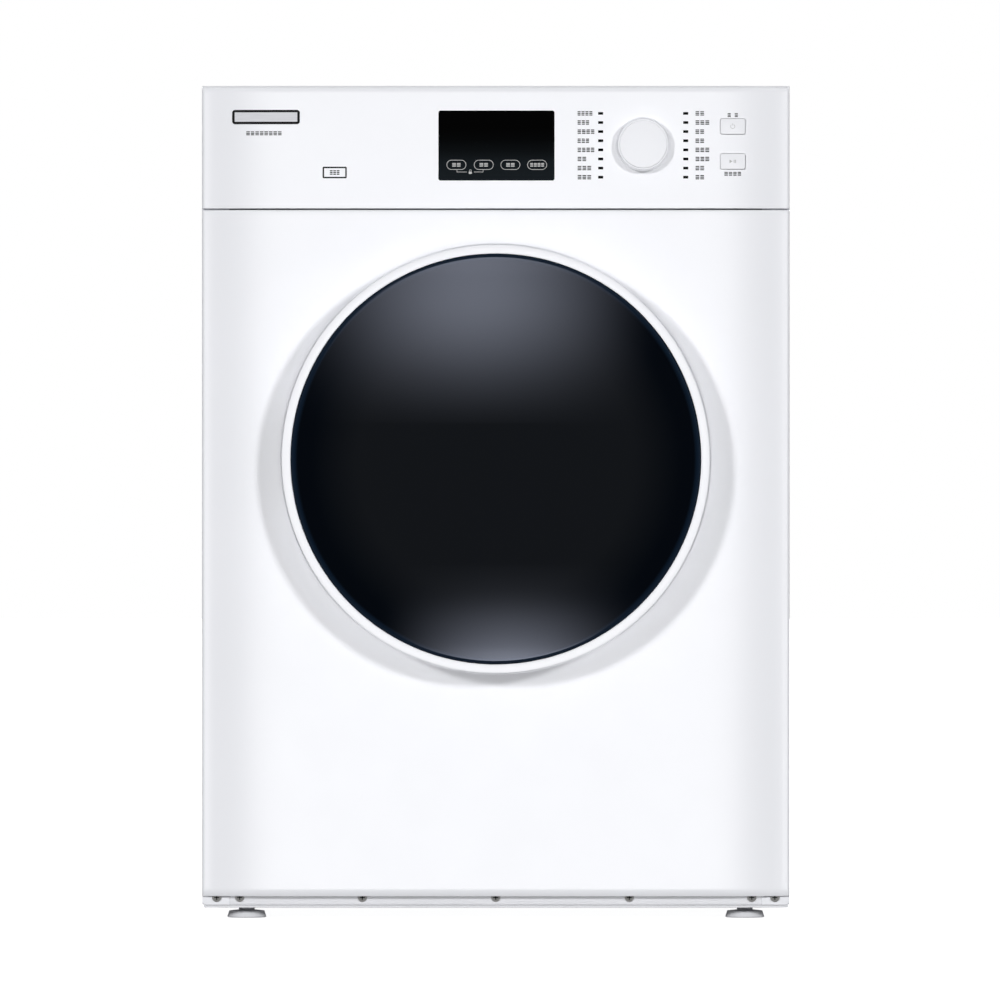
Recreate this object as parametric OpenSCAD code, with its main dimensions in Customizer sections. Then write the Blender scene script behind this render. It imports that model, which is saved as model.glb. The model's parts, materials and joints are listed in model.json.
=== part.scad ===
// Front-loading vented clothes dryer, standing on four levelling feet.
// Millimetres. +X right, +Y back, +Z up. Origin: middle of the footprint, on the floor.

/* [Cabinet] */
// Width of the cabinet
body_w = 600; // [596:1:604]
// Height from the floor to the worktop
body_h = 850; // [848:1:856]
// Depth from the glass of the door to the end of the exhaust spigot
overall_d = 600; // [596:1:610]
// Height of the control fascia
fascia_h = 125.3; // [124:0.1:126]
// Height of the visible plinth strip
plinth_h = 12; // [11:0.5:12]
// Gap between the floor and the cabinet
floor_gap = 11; // [11:0.5:12]
// Thickness of the cabinet sheet steel
sheet = 1.2; // [1:0.1:1.4]
// How far the front curves back at its two sides
side_drop = 5; // [4:0.5:5]
// Half width of the flat middle of the front
flat_half = 225; // [215:5:230]

/* [Door] */
// Outer radius of the door ring
ring_r = 218.5; // [218:0.5:219]
// Radius of the domed door glass
glass_r = 209; // [208.8:0.1:209]
// Height of the door's centre above the floor
door_z = 469; // [467:1:470]
// How far the dome stands in front of the cabinet
dome_stand = 62; // [60:1:63]
// Radius of the porthole
porthole_r = 166; // [165:1:166]
// Depth of the glass bowl behind the cabinet front
bowl_depth = 45; // [42:1:45]

/* [Controls] */
// Width of the display window
window_w = 118.5; // [110:0.5:120]
// Height of the display window
window_h = 71.5; // [68:0.5:72]
// Radius of the selector knob
knob_r = 27.35; // [25:0.05:28]
// How far the selector knob stands out
knob_stand = 11; // [9:1:13]
// Width of a push button
button_w = 25.5; // [24:0.5:26]
// Height of a push button
button_h = 16; // [15:0.5:17]
// Number of indicator dashes in a column
lens_rows = 8; // [6:1:8]

/* [Drum] */
// Outer radius of the drum
drum_r = 280; // [278:1:280]
// Thickness of the drum shell
drum_t = 1.2; // [1:0.1:1.4]
// Number of lifters in the drum
lifter_count = 3; // [2:1:4]
// Height of a lifter above the drum wall
lifter_h = 45; // [35:5:45]

/* [Drive] */
// Radius of the motor pulley
pulley_r = 10; // [9:0.5:11]
// Width of the drive belt
belt_w = 14; // [10:1:14]
// Radius of the motor casing
motor_r = 58; // [54:1:58]
// Number of blades on the blower wheel
blade_count = 24; // [16:2:30]

/* [Exhaust] */
// Outer radius of the exhaust duct and its spigot
spigot_r = 50; // [48:1:50]
// How far the spigot stands out at the back
spigot_out = 25; // [20:1:30]

/* [Hidden] */
$fn = 96;
eps = 0.01;

// Running clearance of a shaft in its bore
fit = 0.05;
// Gap left between neighbouring pieces
gap = 0.3;

half_w = body_w / 2;
front_y = -overall_d / 2 + dome_stand;
rear_y = overall_d / 2 - spigot_out;
cabinet_d = rear_y - front_y;
seam_z = body_h - fascia_h;
panel_z = floor_gap + plinth_h;
worktop_t = 18;
worktop_z = body_h - worktop_t;
corner_r = 4;
skirt_d = 10;

plinth_d = 12;
tab_w = 28;
flange_d = plinth_d - sheet;

bulkhead_d = 60;
bulkhead_t = 3;
drum_front_d = 75;
drum_rear_d = cabinet_d - 47;
drum_mouth_r = 213;
collar_r = 208;
rear_bulkhead_d = drum_rear_d + 6;
shaft_r = 12.5;

hinge_x = -200;
hinge_out = 28;
pin_r = 4;
knuckle_r = 7;
notch_half = 42;

knob_x = 150.4;
knob_z = body_h - 60;
window_x = 0.7;
window_z = body_h - 61;
button_x = 241.8;
power_z = body_h - 41.5;
start_z = body_h - 77.2;
lens_w = 4.9;
lens_h = 2.3;
lens_pitch = 9.3;
lens_top_z = body_h - 27.7;
lens_dx = 43.4;

motor_x = 190;
motor_z = 98;
motor_shaft_r = 6;
belt_d = 251;
belt_t = 3;
idler_x = 106.8;
idler_z = 98.1;
idler_r = 18;
arm_pivot_x = 130;
arm_pivot_z = 45;
arm_len = norm([idler_x - arm_pivot_x, idler_z - arm_pivot_z]);
arm_angle = atan2(idler_z - arm_pivot_z, idler_x - arm_pivot_x);
duct_x = 20;
duct_z = 90;

roller_r = 20;
roller_angle = 35;
roller_reach = drum_r + gap + roller_r;
roller_x = roller_reach * sin(roller_angle);
roller_z = door_z - roller_reach * cos(roller_angle);
roller_d = 80;

filter_half = 100;
filter_d = 51;
filter_t = 16;
filter_z = 200;

foot_r = 20;
foot_x = 255;
foot_inset = 45;
stud_r = 5;

gland_x = -230;
gland_z = 110;
gland_bore_r = 5;

enamel = "white";
trim_white = [0.95, 0.95, 0.96];
dark = [0.05, 0.05, 0.06];
steel = "silver";
zinc = [0.70, 0.71, 0.72];

// ---- helpers ----

// Children drawn with X right, Y up and Z towards the user, zero on the cabinet's front plane.
module facing(x = 0, z = 0) {
    translate([x, front_y, z]) rotate([90, 0, 0]) children();
}

// Children drawn along +Z run backwards from a depth behind the front plane.
module inward(x, z, depth) {
    translate([x, front_y + depth, z]) rotate([-90, 0, 0]) children();
}

// Extrudes a front-view outline backwards from a depth.
module plate(depth, thickness) {
    translate([0, front_y + depth + thickness, 0])
        rotate([90, 0, 0])
            linear_extrude(thickness) children();
}

// A box given by its low and high corners, with Y as a depth behind the front plane.
module block(low, high) {
    translate([low[0], front_y + low[1], low[2]])
        cube([high[0] - low[0], high[1] - low[1], high[2] - low[2]]);
}

// A rectangle with round corners, centred.
module round_rect(w, h, r) {
    square([w - 2 * r, h], center = true);
    square([w, h - 2 * r], center = true);
    for (sx = [-1, 1], sy = [-1, 1])
        translate([sx * (w / 2 - r), sy * (h / 2 - r)]) circle(r);
}

// A washer-shaped tube along +Z.
module tube(r_out, r_in, len) {
    difference() {
        cylinder(r = r_out, h = len);
        translate([0, 0, -1]) cylinder(r = r_in, h = len + 2);
    }
}

// How far the front surface lies behind the front plane at x.
function front_drop(x) =
    abs(x) <= flat_half ? 0
    : side_drop * pow((abs(x) - flat_half) / (half_w - corner_r - flat_half), 2);

// Right half of the front curve, from the flat middle to the side, inset by a wall thickness.
function half_front(wall) = concat(
    [for (i = [0:8])
        let (x = flat_half + (half_w - corner_r - flat_half) * i / 8)
        [x, front_y + front_drop(x) + wall]],
    [for (a = [75:-15:0])
        [half_w - corner_r + (corner_r - wall) * cos(a),
         front_y + side_drop + corner_r - (corner_r - wall) * sin(a)]]
);

// Closed plan outline behind the front curve, down to a depth.
module front_plan(wall, depth) {
    right = half_front(wall);
    left = [for (i = [len(right) - 1:-1:0]) [-right[i][0], right[i][1]]];
    back = [[-half_w + wall, front_y + depth], [half_w - wall, front_y + depth]];
    polygon(concat(right, [back[1], back[0]], left));
}

// ---- cabinet ----

module base_pan() color(zinc) {
    half = half_w - 3;
    rear = cabinet_d - 4;
    wall_top = 36;
    difference() {
        union() {
            difference() {
                block([-half, plinth_d + 2, floor_gap], [half, rear, wall_top]);
                block([-half + 2, plinth_d + 4, floor_gap + 2.5], [half - 2, rear - 2, wall_top + 1]);
            }
            foot_places() cylinder(r = 13, h = 20);
            // two pressed ribs across the floor
            for (d = [130, 340]) block([-250, d, floor_gap + 2], [90, d + 14, floor_gap + 7]);
        }
        foot_places() translate([0, 0, -1]) cylinder(r = stud_r + fit, h = 30);
        plinth_screw_places() screw_hole();
    }
}

// Puts its children at the four feet, on the underside of the pan.
module foot_places() {
    for (sx = [-1, 1], y = [front_y + foot_inset, rear_y - foot_inset])
        translate([sx * foot_x, y, floor_gap]) children();
}

module plinth_strip() color([0.83, 0.84, 0.86]) difference() {
    union() {
        block([-half_w + 1.5, plinth_d, floor_gap], [half_w - 1.5, plinth_d + sheet, panel_z + 12]);
        // bottom lip and the ridge above it
        block([-half_w + 1.5, plinth_d - 2, floor_gap], [half_w - 1.5, plinth_d + eps, floor_gap + 1.4]);
        block([-half_w + tab_w + 1, plinth_d - 0.6, floor_gap + 3],
              [half_w - tab_w - 1, plinth_d + eps, floor_gap + 3.8]);
    }
    plinth_screw_places() screw_hole();
}

// Puts its children at the seven screws of the plinth, Z towards the user.
// The two outermost screws lie on the side flanges, the others on the strip.
module plinth_screw_places() {
    for (x = [-285, -261.5, -136.3, 0, 136.3, 261.5, 285])
        facing(x, floor_gap + 10.5)
            translate([0, 0, abs(x) > half_w - tab_w ? -flange_d : -plinth_d]) children();
}

// Clearance hole for the shank of a case screw.
module screw_hole() translate([0, 0, -12]) cylinder(r = 2.1, h = 20);

// One side of the cabinet, drawn for the right-hand side.
module side_sheet() {
    top = worktop_z - 1;
    low = floor_gap + 3;
    back = cabinet_d - sheet;
    difference() {
        union() {
            block([half_w - sheet, flange_d, low], [half_w, back, top]);
            block([half_w - tab_w, flange_d, low], [half_w, plinth_d, top]);
            block([half_w - 25, back - sheet, low], [half_w, back, top]);
            block([half_w - 12, 30, top - sheet], [half_w, back, top]);
        }
        // rounded lower corner of the front flange
        difference() {
            block([half_w - 5, -1, low - 1], [half_w + 1, plinth_d + 3, low + 5]);
            inward(half_w - 5, low + 5, -2) cylinder(r = 5, h = 30);
        }
        plinth_screw_places() screw_hole();
        rear_screw_places() screw_hole();
    }
}

module side_panel_right() color(enamel) side_sheet();

module side_panel_left() color(enamel) mirror([1, 0, 0]) side_sheet();

module rear_panel() color(zinc) difference() {
    block([-half_w + 1.5, cabinet_d - sheet, floor_gap + 3], [half_w - 1.5, cabinet_d, worktop_z - 1]);
    inward(duct_x, duct_z, cabinet_d - 20) cylinder(r = spigot_r + 1, h = 40);
    inward(gland_x, gland_z, cabinet_d - 20) cylinder(r = 10.2, h = 40);
    plate(cabinet_d - 5, 10) translate([0, door_z]) round_rect(340, 350, 20);
    // air intake louvres
    for (sx = [-1, 1], i = [0:9])
        plate(cabinet_d - 5, 10)
            translate([sx * 225, 360 + i * 22]) round_rect(60, 6, 2.9);
    rear_screw_places() screw_hole();
}

// Puts its children at the screws of the rear panel and its cover, Z towards the back.
module rear_screw_places() {
    for (sx = [-1, 1], z = [60, 300, 560, 800]) inward(sx * 288, z, cabinet_d) children();
    for (sx = [-1, 1], z = [-190, 0, 190])
        inward(sx * 184, door_z + z, cabinet_d + sheet + 2 * eps) children();
}

module rear_cover() color(zinc) difference() {
    union() {
        plate(cabinet_d + eps, sheet) translate([0, door_z]) round_rect(396, 406, 16);
        plate(cabinet_d + sheet, 12) translate([0, door_z]) round_rect(344, 354, 22);
    }
    plate(cabinet_d - 1, 13) translate([0, door_z]) round_rect(341, 351, 20.5);
    // stamped slots over the heater
    for (i = [0:5])
        plate(cabinet_d, 20) translate([0, door_z + 80 + i * 14]) round_rect(200, 6, 2.9);
    rear_screw_places() screw_hole();
}

module worktop() color(enamel) {
    front_d = skirt_d + 16;
    back_d = cabinet_d + 3;
    difference() {
        translate([0, front_y + (front_d + back_d) / 2, worktop_z])
            linear_extrude(worktop_t) round_rect(body_w - 1, back_d - front_d, 3);
        // hollow underside of the rim
        block([-half_w + 10, front_d + 10, worktop_z - 1], [half_w - 10, back_d - 10, worktop_z + 6]);
        // shadow line between the rim and the board
        translate([0, front_y + (front_d + back_d) / 2, body_h - 1])
            linear_extrude(2) difference() {
                round_rect(body_w - 27, back_d - front_d - 26, 6);
                round_rect(body_w - 29, back_d - front_d - 28, 5);
            }
    }
}

module front_panel() color(enamel) difference() {
    union() {
        translate([0, 0, panel_z]) linear_extrude(seam_z - 1.4 - panel_z) difference() {
            front_plan(0, skirt_d);
            translate([0, eps]) front_plan(sheet, skirt_d + 1);
        }
        // rolled edges at the bottom and at the seam
        for (edge = [[panel_z, 7], [seam_z - 1.4 - sheet, skirt_d]])
            translate([0, 0, edge[0]]) linear_extrude(sheet) front_plan(0.5, edge[1]);
        inward(0, door_z, 0.2) tube(porthole_r + sheet, porthole_r, plinth_d - 0.2);
    }
    inward(0, door_z, -5) cylinder(r = porthole_r, h = 30, $fn = 180);
    // slot for the door hook
    plate(-5, 20) translate([187, door_z]) round_rect(18, 28, 2);
}

module control_fascia() color(trim_white) difference() {
    top_d = skirt_d + 15.5;
    union() {
        translate([0, 0, seam_z]) linear_extrude(fascia_h) front_plan(0, skirt_d);
        block([-half_w, skirt_d - 1, worktop_z], [half_w, top_d, body_h]);
    }
    translate([0, 0, seam_z + 2.5]) linear_extrude(fascia_h - 5) front_plan(2.5, top_d + 5);
    // rounded top edge
    difference() {
        block([-half_w - 1, -1, body_h - 6], [half_w + 1, 6, body_h + 1]);
        translate([-half_w - 2, front_y + 6, body_h - 6])
            rotate([0, 90, 0]) cylinder(r = 6, h = body_w + 4);
    }
    plate(-5, 20) translate([window_x, window_z]) square([window_w, window_h], center = true);
    lens_places() square([lens_w + 0.2, lens_h + 0.2], center = true);
    inward(knob_x, knob_z, -5) cylinder(r = 4, h = 20);
    for (z = [power_z, start_z])
        plate(-5, 20) translate([button_x, z]) round_rect(button_w + 0.8, button_h + 0.8, 2.2);
}

// Extrudes a small outline at each indicator dash, through the fascia's front wall.
module lens_places(depth = -5, thickness = 20) {
    for (side = [-1, 1], i = [0:lens_rows - 1])
        plate(depth, thickness)
            translate([knob_x + side * lens_dx, lens_top_z - i * lens_pitch]) children();
}

module display_window() color(dark)
    plate(-0.2, 2.6) translate([window_x, window_z]) round_rect(window_w - 0.4, window_h - 0.4, 2);

module indicator_lenses() color(dark)
    lens_places(-0.1, 2.5) square([lens_w, lens_h], center = true);

module control_board() color("darkgreen") {
    block([-85, 14, body_h - 105], [262, 15.6, body_h - 20]);
    // display block, button switches, relay, transformer and connectors
    block([-50, 4, window_z - 28], [50, 14, window_z + 28]);
    for (z = [power_z, start_z]) block([button_x - 4, 11.5, z - 4], [button_x + 4, 14, z + 4]);
    for (x = [-70, 90]) block([x - 10, 15.6, body_h - 60], [x + 10, 33, body_h - 35]);
    block([10, 15.6, body_h - 90], [52, 46, body_h - 50]);
    for (x = [170, 205]) block([x, 15.6, body_h - 98], [x + 24, 26, body_h - 84]);
}

module selector_encoder() color("dimgray") difference() {
    union() {
        block([knob_x - 7, 6, knob_z - 7], [knob_x + 7, 13.9, knob_z + 7]);
        inward(knob_x, knob_z, 3) cylinder(r = 5, h = 4);
    }
    inward(knob_x, knob_z, 0) cylinder(r = 3 + fit, h = 13);
}

module selector_knob() color(trim_white) facing(knob_x, knob_z) {
    rotate_extrude() polygon([
        [0, 1], [knob_r - 2, 1], [knob_r, 1.6], [knob_r, knob_stand - 4.2],
        [knob_r - 0.6, knob_stand - 3.2], [knob_r - 3.2, knob_stand - 0.3],
        [knob_r - 4, knob_stand], [0, knob_stand]
    ]);
    translate([0, 0, -12]) cylinder(r = 3, h = 13.5);
}

// A push button with its retaining flange and stem.
module push_button(z) {
    facing(button_x, z) {
        translate([0, 0, -4.5]) linear_extrude(5.5) round_rect(button_w, button_h, 1.8);
        translate([0, 0, -5.2]) linear_extrude(1.2) round_rect(button_w + 4, button_h + 3, 2);
        translate([0, 0, -9]) cylinder(r = 3, h = 5);
    }
}

module power_button() color(trim_white) push_button(power_z);

module start_button() color(trim_white) push_button(start_z);

// ---- front bulkhead, filter and air path ----

module front_bulkhead() color([0.88, 0.88, 0.90]) difference() {
    union() {
        plate(bulkhead_d, bulkhead_t) difference() {
            translate([-286, 195]) square([572, 540]);
            for (sx = [-1, 1]) translate([sx * 286, 735]) rotate(45) square(120, center = true);
            translate([0, door_z]) circle(collar_r + gap);
        }
        filter_pocket(0);
        // stub axles of the support rollers
        for (sx = [-1, 1])
            inward(sx * roller_x, roller_z, bulkhead_d + 1) cylinder(r = 5, h = 45);
    }
    inward(0, door_z, -1) cylinder(r = porthole_r, h = 120, $fn = 180);
    block([-filter_half - 2, filter_d - 1.5, filter_z - 20],
          [filter_half + 2, filter_d + filter_t + 1.5, 400]);
}

// Outer shape of the filter's pocket, grown by a gap.
module filter_pocket(grow) {
    half = filter_half + 5 + grow;
    block([-half, filter_d - 4 - grow, filter_z - 8],
          [half, filter_d + filter_t + 4 + grow, 340 + grow]);
}

// Leads from the porthole into the drum and carries the front felt.
module front_collar() color([0.88, 0.88, 0.90]) difference() {
    web_d = bulkhead_d - 3;
    union() {
        inward(0, door_z, plinth_d + 0.6) tube(porthole_r + 3, porthole_r, web_d - plinth_d);
        inward(0, door_z, web_d) tube(collar_r + 12, porthole_r, 2.9);
        inward(0, door_z, web_d) tube(collar_r, collar_r - 4, 29);
    }
    filter_pocket(gap);
}

module felt_seals() color("dimgray") {
    inward(0, door_z, bulkhead_d + 12) tube(drum_mouth_r - gap, collar_r + eps, 12);
    inward(0, door_z, drum_rear_d + gap) tube(274, 262, 5.5);
}

module sensor_bars() color(steel) difference() {
    for (d = [22, 33]) inward(0, door_z, d) tube(porthole_r - 0.2, porthole_r - 2.2, 7);
    // only a short arc at the bottom of the throat
    block([-300, 10, door_z - 146], [300, 60, door_z + 200]);
}

module drum_lamp() color("lightyellow") difference() {
    block([-20, 26, door_z + porthole_r - 7], [20, 48, door_z + porthole_r - 1.4]);
    block([-17, 29, door_z + porthole_r - 3], [17, 45, door_z + porthole_r]);
}

module lint_filter_frame() color([0.35, 0.55, 0.75]) difference() {
    block([-filter_half, filter_d, filter_z], [filter_half, filter_d + filter_t, 360]);
    inward(0, door_z, 0) cylinder(r = porthole_r + 0.8, h = 120, $fn = 180);
    // windows for the mesh, between four posts
    for (x = [-62.6, 0, 62.6])
        block([x - 29.5, filter_d - 1, filter_z + 8], [x + 29.5, filter_d + filter_t + 1, 292]);
    block([-filter_half + 5, filter_d + 7, filter_z + 5],
          [filter_half - 5, filter_d + 9, 295]);
    // finger grip in the top edge
    block([-26, filter_d + 4, 294], [26, filter_d + 12, 320]);
}

module lint_filter_mesh() color("gainsboro")
    block([-filter_half + 5.2, filter_d + 7.4, filter_z + 5.2],
          [filter_half - 5.2, filter_d + 8.6, 294.8]);

module lint_duct() color([0.88, 0.88, 0.90]) difference() {
    mouth_half = filter_half + 5;
    union() {
        plate(30, 28) duct_outline(0);
        block([-mouth_half, 40, 165], [mouth_half, filter_d + filter_t + 4, filter_z - 8.3]);
    }
    plate(32.5, 23) duct_outline(2.5);
    block([-mouth_half + 2.5, 33, 167.5], [mouth_half - 2.5, filter_d + filter_t + 1.5, filter_z]);
    inward(motor_x, motor_z, 40) cylinder(r = 45, h = 30);
}

// Front view of the duct from the filter to the fan, inset by a wall thickness.
module duct_outline(wall) {
    left = -filter_half - 5 + wall;
    right = filter_half + 5 - wall;
    polygon([
        [left, filter_z - 8.3 - wall], [right, filter_z - 8.3 - wall], [right + 30, 165 - wall],
        [262 - wall, 158 - wall], [262 - wall, 42 + wall], [150, 30 + wall], [left, 140 + wall]
    ]);
}

module fan_housing() color([0.80, 0.80, 0.82]) difference() {
    depth = 49.5;
    union() {
        inward(motor_x, motor_z, 58.5) cylinder(r = 80, h = depth);
        block([80, 58.5, 58], [motor_x, 58.5 + depth, 142]);
    }
    inward(motor_x, motor_z, 61) cylinder(r = 77.5, h = depth - 5);
    block([70, 61, 60.5], [motor_x, 58.5 + depth - 2.5, 139.5]);
    inward(motor_x, motor_z, 50) cylinder(r = 45, h = 20);
    inward(motor_x, motor_z, 90) cylinder(r = 10, h = 40);
}

module blower_wheel() color("dimgray") inward(motor_x, motor_z, 66) difference() {
    union() {
        translate([0, 0, 32]) cylinder(r = 70, h = 2.5);
        translate([0, 0, 10]) cylinder(r = 14, h = 24);
        tube(70, 62, 2.5);
        for (i = [0:blade_count - 1])
            rotate(i * 360 / blade_count) translate([54, 0, 1]) rotate(25) translate([0, -0.8, 0])
                cube([14, 1.6, 32]);
    }
    translate([0, 0, -1]) cylinder(r = motor_shaft_r, h = 50);
}

module exhaust_duct() color([0.80, 0.80, 0.82]) difference() {
    run = cabinet_d + spigot_out - 106;
    union() {
        block([duct_x - 52, 58.5, duct_z - 52], [79.7, 108, duct_z + 52]);
        inward(duct_x, duct_z, 106) cylinder(r = spigot_r - 1, h = run);
        inward(duct_x, duct_z, cabinet_d) cylinder(r = spigot_r, h = spigot_out);
    }
    block([duct_x - 50, 60.5, duct_z - 50], [77.7, 106, duct_z + 50]);
    block([70, 61, 60.5], [90, 105.5, 139.5]);
    inward(duct_x, duct_z, 100) cylinder(r = spigot_r - 2, h = run + 20);
}

// ---- motor and belt drive ----

module motor_body() color([0.45, 0.46, 0.48]) difference() {
    union() {
        inward(motor_x, motor_z, 125) cylinder(r = motor_r, h = 110);
        inward(motor_x, motor_z, 116) cylinder(r = 40, h = 128);
        inward(motor_x, motor_z, 112) cylinder(r = 14, h = 134);
    }
    inward(motor_x, motor_z, 100) cylinder(r = motor_shaft_r + fit, h = 160);
    // cooling slots in both end bells
    for (i = [0:9], d = [110, 236])
        inward(motor_x, motor_z, d) rotate(i * 36) translate([24, -3, 0]) cube([12, 6, 14]);
}

module motor_shaft() color(steel) {
    inward(motor_x, motor_z, 70) cylinder(r = motor_shaft_r, h = 202);
    // grooved belt pulley turned on the end of the shaft
    inward(motor_x, motor_z, belt_d - 2) rotate_extrude() polygon(concat(
        [[0, 0], [pulley_r + 3, 0], [pulley_r + 3, 1.6]],
        [for (i = [0:6], side = [0, 1]) [pulley_r - side * 1.2, 2 + i * 2 + side]],
        [[pulley_r, 16.2], [pulley_r + 3, 16.4], [pulley_r + 3, 18], [0, 18]]
    ));
}

module motor_bracket() color(zinc) {
    base_top = floor_gap + 2.6;
    block([motor_x - 75, 114, base_top], [motor_x + 62, 246, base_top + 3]);
    for (d = [118.5, 238])
        difference() {
            block([motor_x - (d > 200 ? 75 : 50), d, base_top], [motor_x + 50, d + 3, motor_z + 50]);
            inward(motor_x, motor_z, d - 5) cylinder(r = 40.1, h = 20);
            block([motor_x - 90, d - 1, 66], [motor_x - 50, d + 5, 200]);
        }
    // fixed stud that carries the idler arm
    inward(arm_pivot_x, arm_pivot_z, 239) cylinder(r = 5, h = 36);
}

module idler_arm() color(zinc) difference() {
    union() {
        plate(268.5, 3) {
            translate([arm_pivot_x, arm_pivot_z]) circle(12);
            translate([idler_x, idler_z]) circle(9);
            translate([arm_pivot_x, arm_pivot_z]) rotate(arm_angle) translate([0, -6]) square([arm_len, 12]);
        }
        inward(arm_pivot_x, arm_pivot_z, 250) cylinder(r = 10, h = 20);
        inward(idler_x, idler_z, 248) cylinder(r = 4, h = 22);
    }
    inward(arm_pivot_x, arm_pivot_z, 240) cylinder(r = 5 + fit, h = 60);
}

module idler_pulley() color("dimgray") inward(idler_x, idler_z, belt_d - 1) difference() {
    cylinder(r = idler_r, h = belt_w + 2);
    for (z = [-1, belt_w - 2]) translate([0, 0, z]) tube(idler_r - 3, 8, 5);
    translate([0, 0, -1]) cylinder(r = 4 + fit, h = 30);
}

// Outline of a belt run round the drum and the motor pulley, grown outwards.
module belt_outline(grow) hull() {
    translate([0, door_z]) circle(drum_r + 0.4 + grow, $fn = 180);
    translate([motor_x, motor_z]) circle(pulley_r + 0.4 + grow, $fn = 32);
}

module drum_belt() color("black") plate(belt_d, belt_w) difference() {
    belt_outline(belt_t);
    belt_outline(0);
}

// ---- drum ----

module drum_shell() color(steel) inward(0, door_z, drum_front_d) difference() {
    cylinder(r = drum_r, h = drum_rear_d - drum_front_d, $fn = 180);
    translate([0, 0, drum_t]) cylinder(r = drum_r - drum_t, h = drum_rear_d, $fn = 180);
    translate([0, 0, -1]) cylinder(r = drum_mouth_r, h = 10, $fn = 180);
}

module drum_back() color(steel) inward(0, door_z, drum_rear_d - 2.4) difference() {
    union() {
        cylinder(r = drum_r - drum_t - eps, h = 1.2, $fn = 180);
        // pressed rings that stiffen the disc
        translate([0, 0, -4]) tube(150, 140, 4.5);
        translate([0, 0, -4]) tube(246, 236, 4.5);
        translate([0, 0, -6]) cylinder(r = 52, h = 6.5);
    }
    for (ring = [[168, 24], [190, 28], [212, 32]], i = [0:ring[1] - 1])
        rotate(i * 360 / ring[1]) translate([ring[0], 0, -10]) cylinder(r = 4, h = 20, $fn = 24);
}

module drum_lifters() color([0.85, 0.86, 0.88])
    inward(0, door_z, drum_front_d + 25)
        for (i = [0:lifter_count - 1]) rotate(90 + i * 360 / lifter_count) lifter();

// One hollow lifter on the inside of the drum wall, at +X.
module lifter() {
    wall_r = drum_r - drum_t - gap;
    len = drum_rear_d - drum_front_d - 60;
    intersection() {
        cylinder(r = wall_r, h = len, $fn = 180);
        linear_extrude(len) polygon(concat(
            [[wall_r + 5, -34], [wall_r - 8, -34]],
            [for (a = [-60:20:60]) [wall_r - lifter_h + 10 - 10 * cos(a), 10 * sin(a)]],
            [[wall_r - 8, 34], [wall_r + 5, 34]]
        ));
    }
}

module drum_shaft() color(steel) {
    inward(0, door_z, drum_rear_d - 1.2) cylinder(r = 45, h = 4);
    inward(0, door_z, drum_rear_d) cylinder(r = shaft_r, h = 36);
}

module drum_bearing() color("darkgray") inward(0, door_z, rear_bulkhead_d - 1.5) difference() {
    union() {
        cylinder(r = 22, h = 28);
        translate([0, 0, 3.5]) cylinder(r = 32, h = 4);
    }
    translate([0, 0, -1]) cylinder(r = shaft_r + fit, h = 40);
}

module rear_bulkhead() color(zinc) plate(rear_bulkhead_d, 2) difference() {
    translate([-290, 160]) square([580, 630]);
    translate([0, door_z]) circle(22.1);
    // hot air holes into the drum, under the heater housing
    for (i = [0:9]) translate([0, door_z]) rotate(18 + i * 36) translate([120, 0]) circle(22);
}

module heater_housing() color(zinc) difference() {
    plate(rear_bulkhead_d + 2.2, 32) translate([0, door_z]) round_rect(324, 334, 24);
    plate(rear_bulkhead_d, 32.7) translate([0, door_z]) round_rect(321, 331, 22.5);
    // air inlets in the top edge, beside the heater
    for (x = [-90:30:90])
        block([x - 10, rear_bulkhead_d + 6, door_z + 150], [x + 10, rear_bulkhead_d + 28, door_z + 180]);
}

module heater_element() color([0.75, 0.45, 0.25]) {
    low = door_z + 95;
    d = rear_bulkhead_d + 8;
    for (z = [low, low + 40]) block([-125, d, z], [125, d + 18, z + 3]);
    for (i = [0:24]) block([-121.5 + i * 10, d + 2, low + 2], [-119.5 + i * 10, d + 16, low + 42]);
}

module thermostats() color("black")
    for (z = [70, 110])
        translate([-162.3, front_y + rear_bulkhead_d + 18, door_z + z])
            rotate([0, -90, 0]) {
                cylinder(r = 9, h = 6);
                translate([0, 0, 5]) cylinder(r = 7, h = 8);
            }

// A support roller under the front edge of the drum.
module support_roller(side) inward(side * roller_x, roller_z, roller_d) difference() {
    cylinder(r = roller_r, h = 20);
    for (z = [-1, 17]) translate([0, 0, z]) tube(roller_r - 4, 9, 4);
    translate([0, 0, -1]) cylinder(r = 5 + fit, h = 30);
}

module roller_left() color("dimgray") support_roller(-1);

module roller_right() color("dimgray") support_roller(1);

// ---- door ----

module door_latch() color("gainsboro") difference() {
    block([173, 1.5, door_z - 36], [207, 40, door_z + 36]);
    block([176, 0, door_z - 17], [200, 30, door_z + 17]);
}

// Outline of one goose-neck arm of the hinge, seen from above with Y towards the user.
module gooseneck() {
    translate([hinge_x, hinge_out]) circle(knuckle_r);
    polygon([
        [hinge_x + 2, hinge_out - 4.6], [hinge_x + 3, hinge_out - 1], [hinge_x + 16, hinge_out - 5.5],
        [hinge_x + 16.5, gap], [hinge_x + 11.5, gap], [hinge_x + 11.5, hinge_out - 10]
    ]);
}

// Draws an outline seen from above, with Y towards the user, over a span of height.
module from_above(low, high) {
    translate([0, front_y, door_z + low])
        mirror([0, 1, 0])
            linear_extrude(high - low) children();
}

module hinge_bracket() color(zinc) difference() {
    union() {
        for (low = [-31.5, 19.5]) from_above(low, low + 12) gooseneck();
        from_above(-38, 38) translate([hinge_x + 4, gap]) square([14, 2.5]);
    }
    from_above(-60, 60) translate([hinge_x, hinge_out]) circle(pin_r + 0.01);
    for (z = [-12, 12])
        facing(hinge_x + 9, door_z + z) translate([0, 0, -5]) cylinder(r = 2.2, h = 20);
}

module hinge_pin() color(steel) {
    from_above(-34, 34) translate([hinge_x, hinge_out]) circle(pin_r);
    from_above(31.7, 34.5) translate([hinge_x, hinge_out]) circle(6);
}

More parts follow.
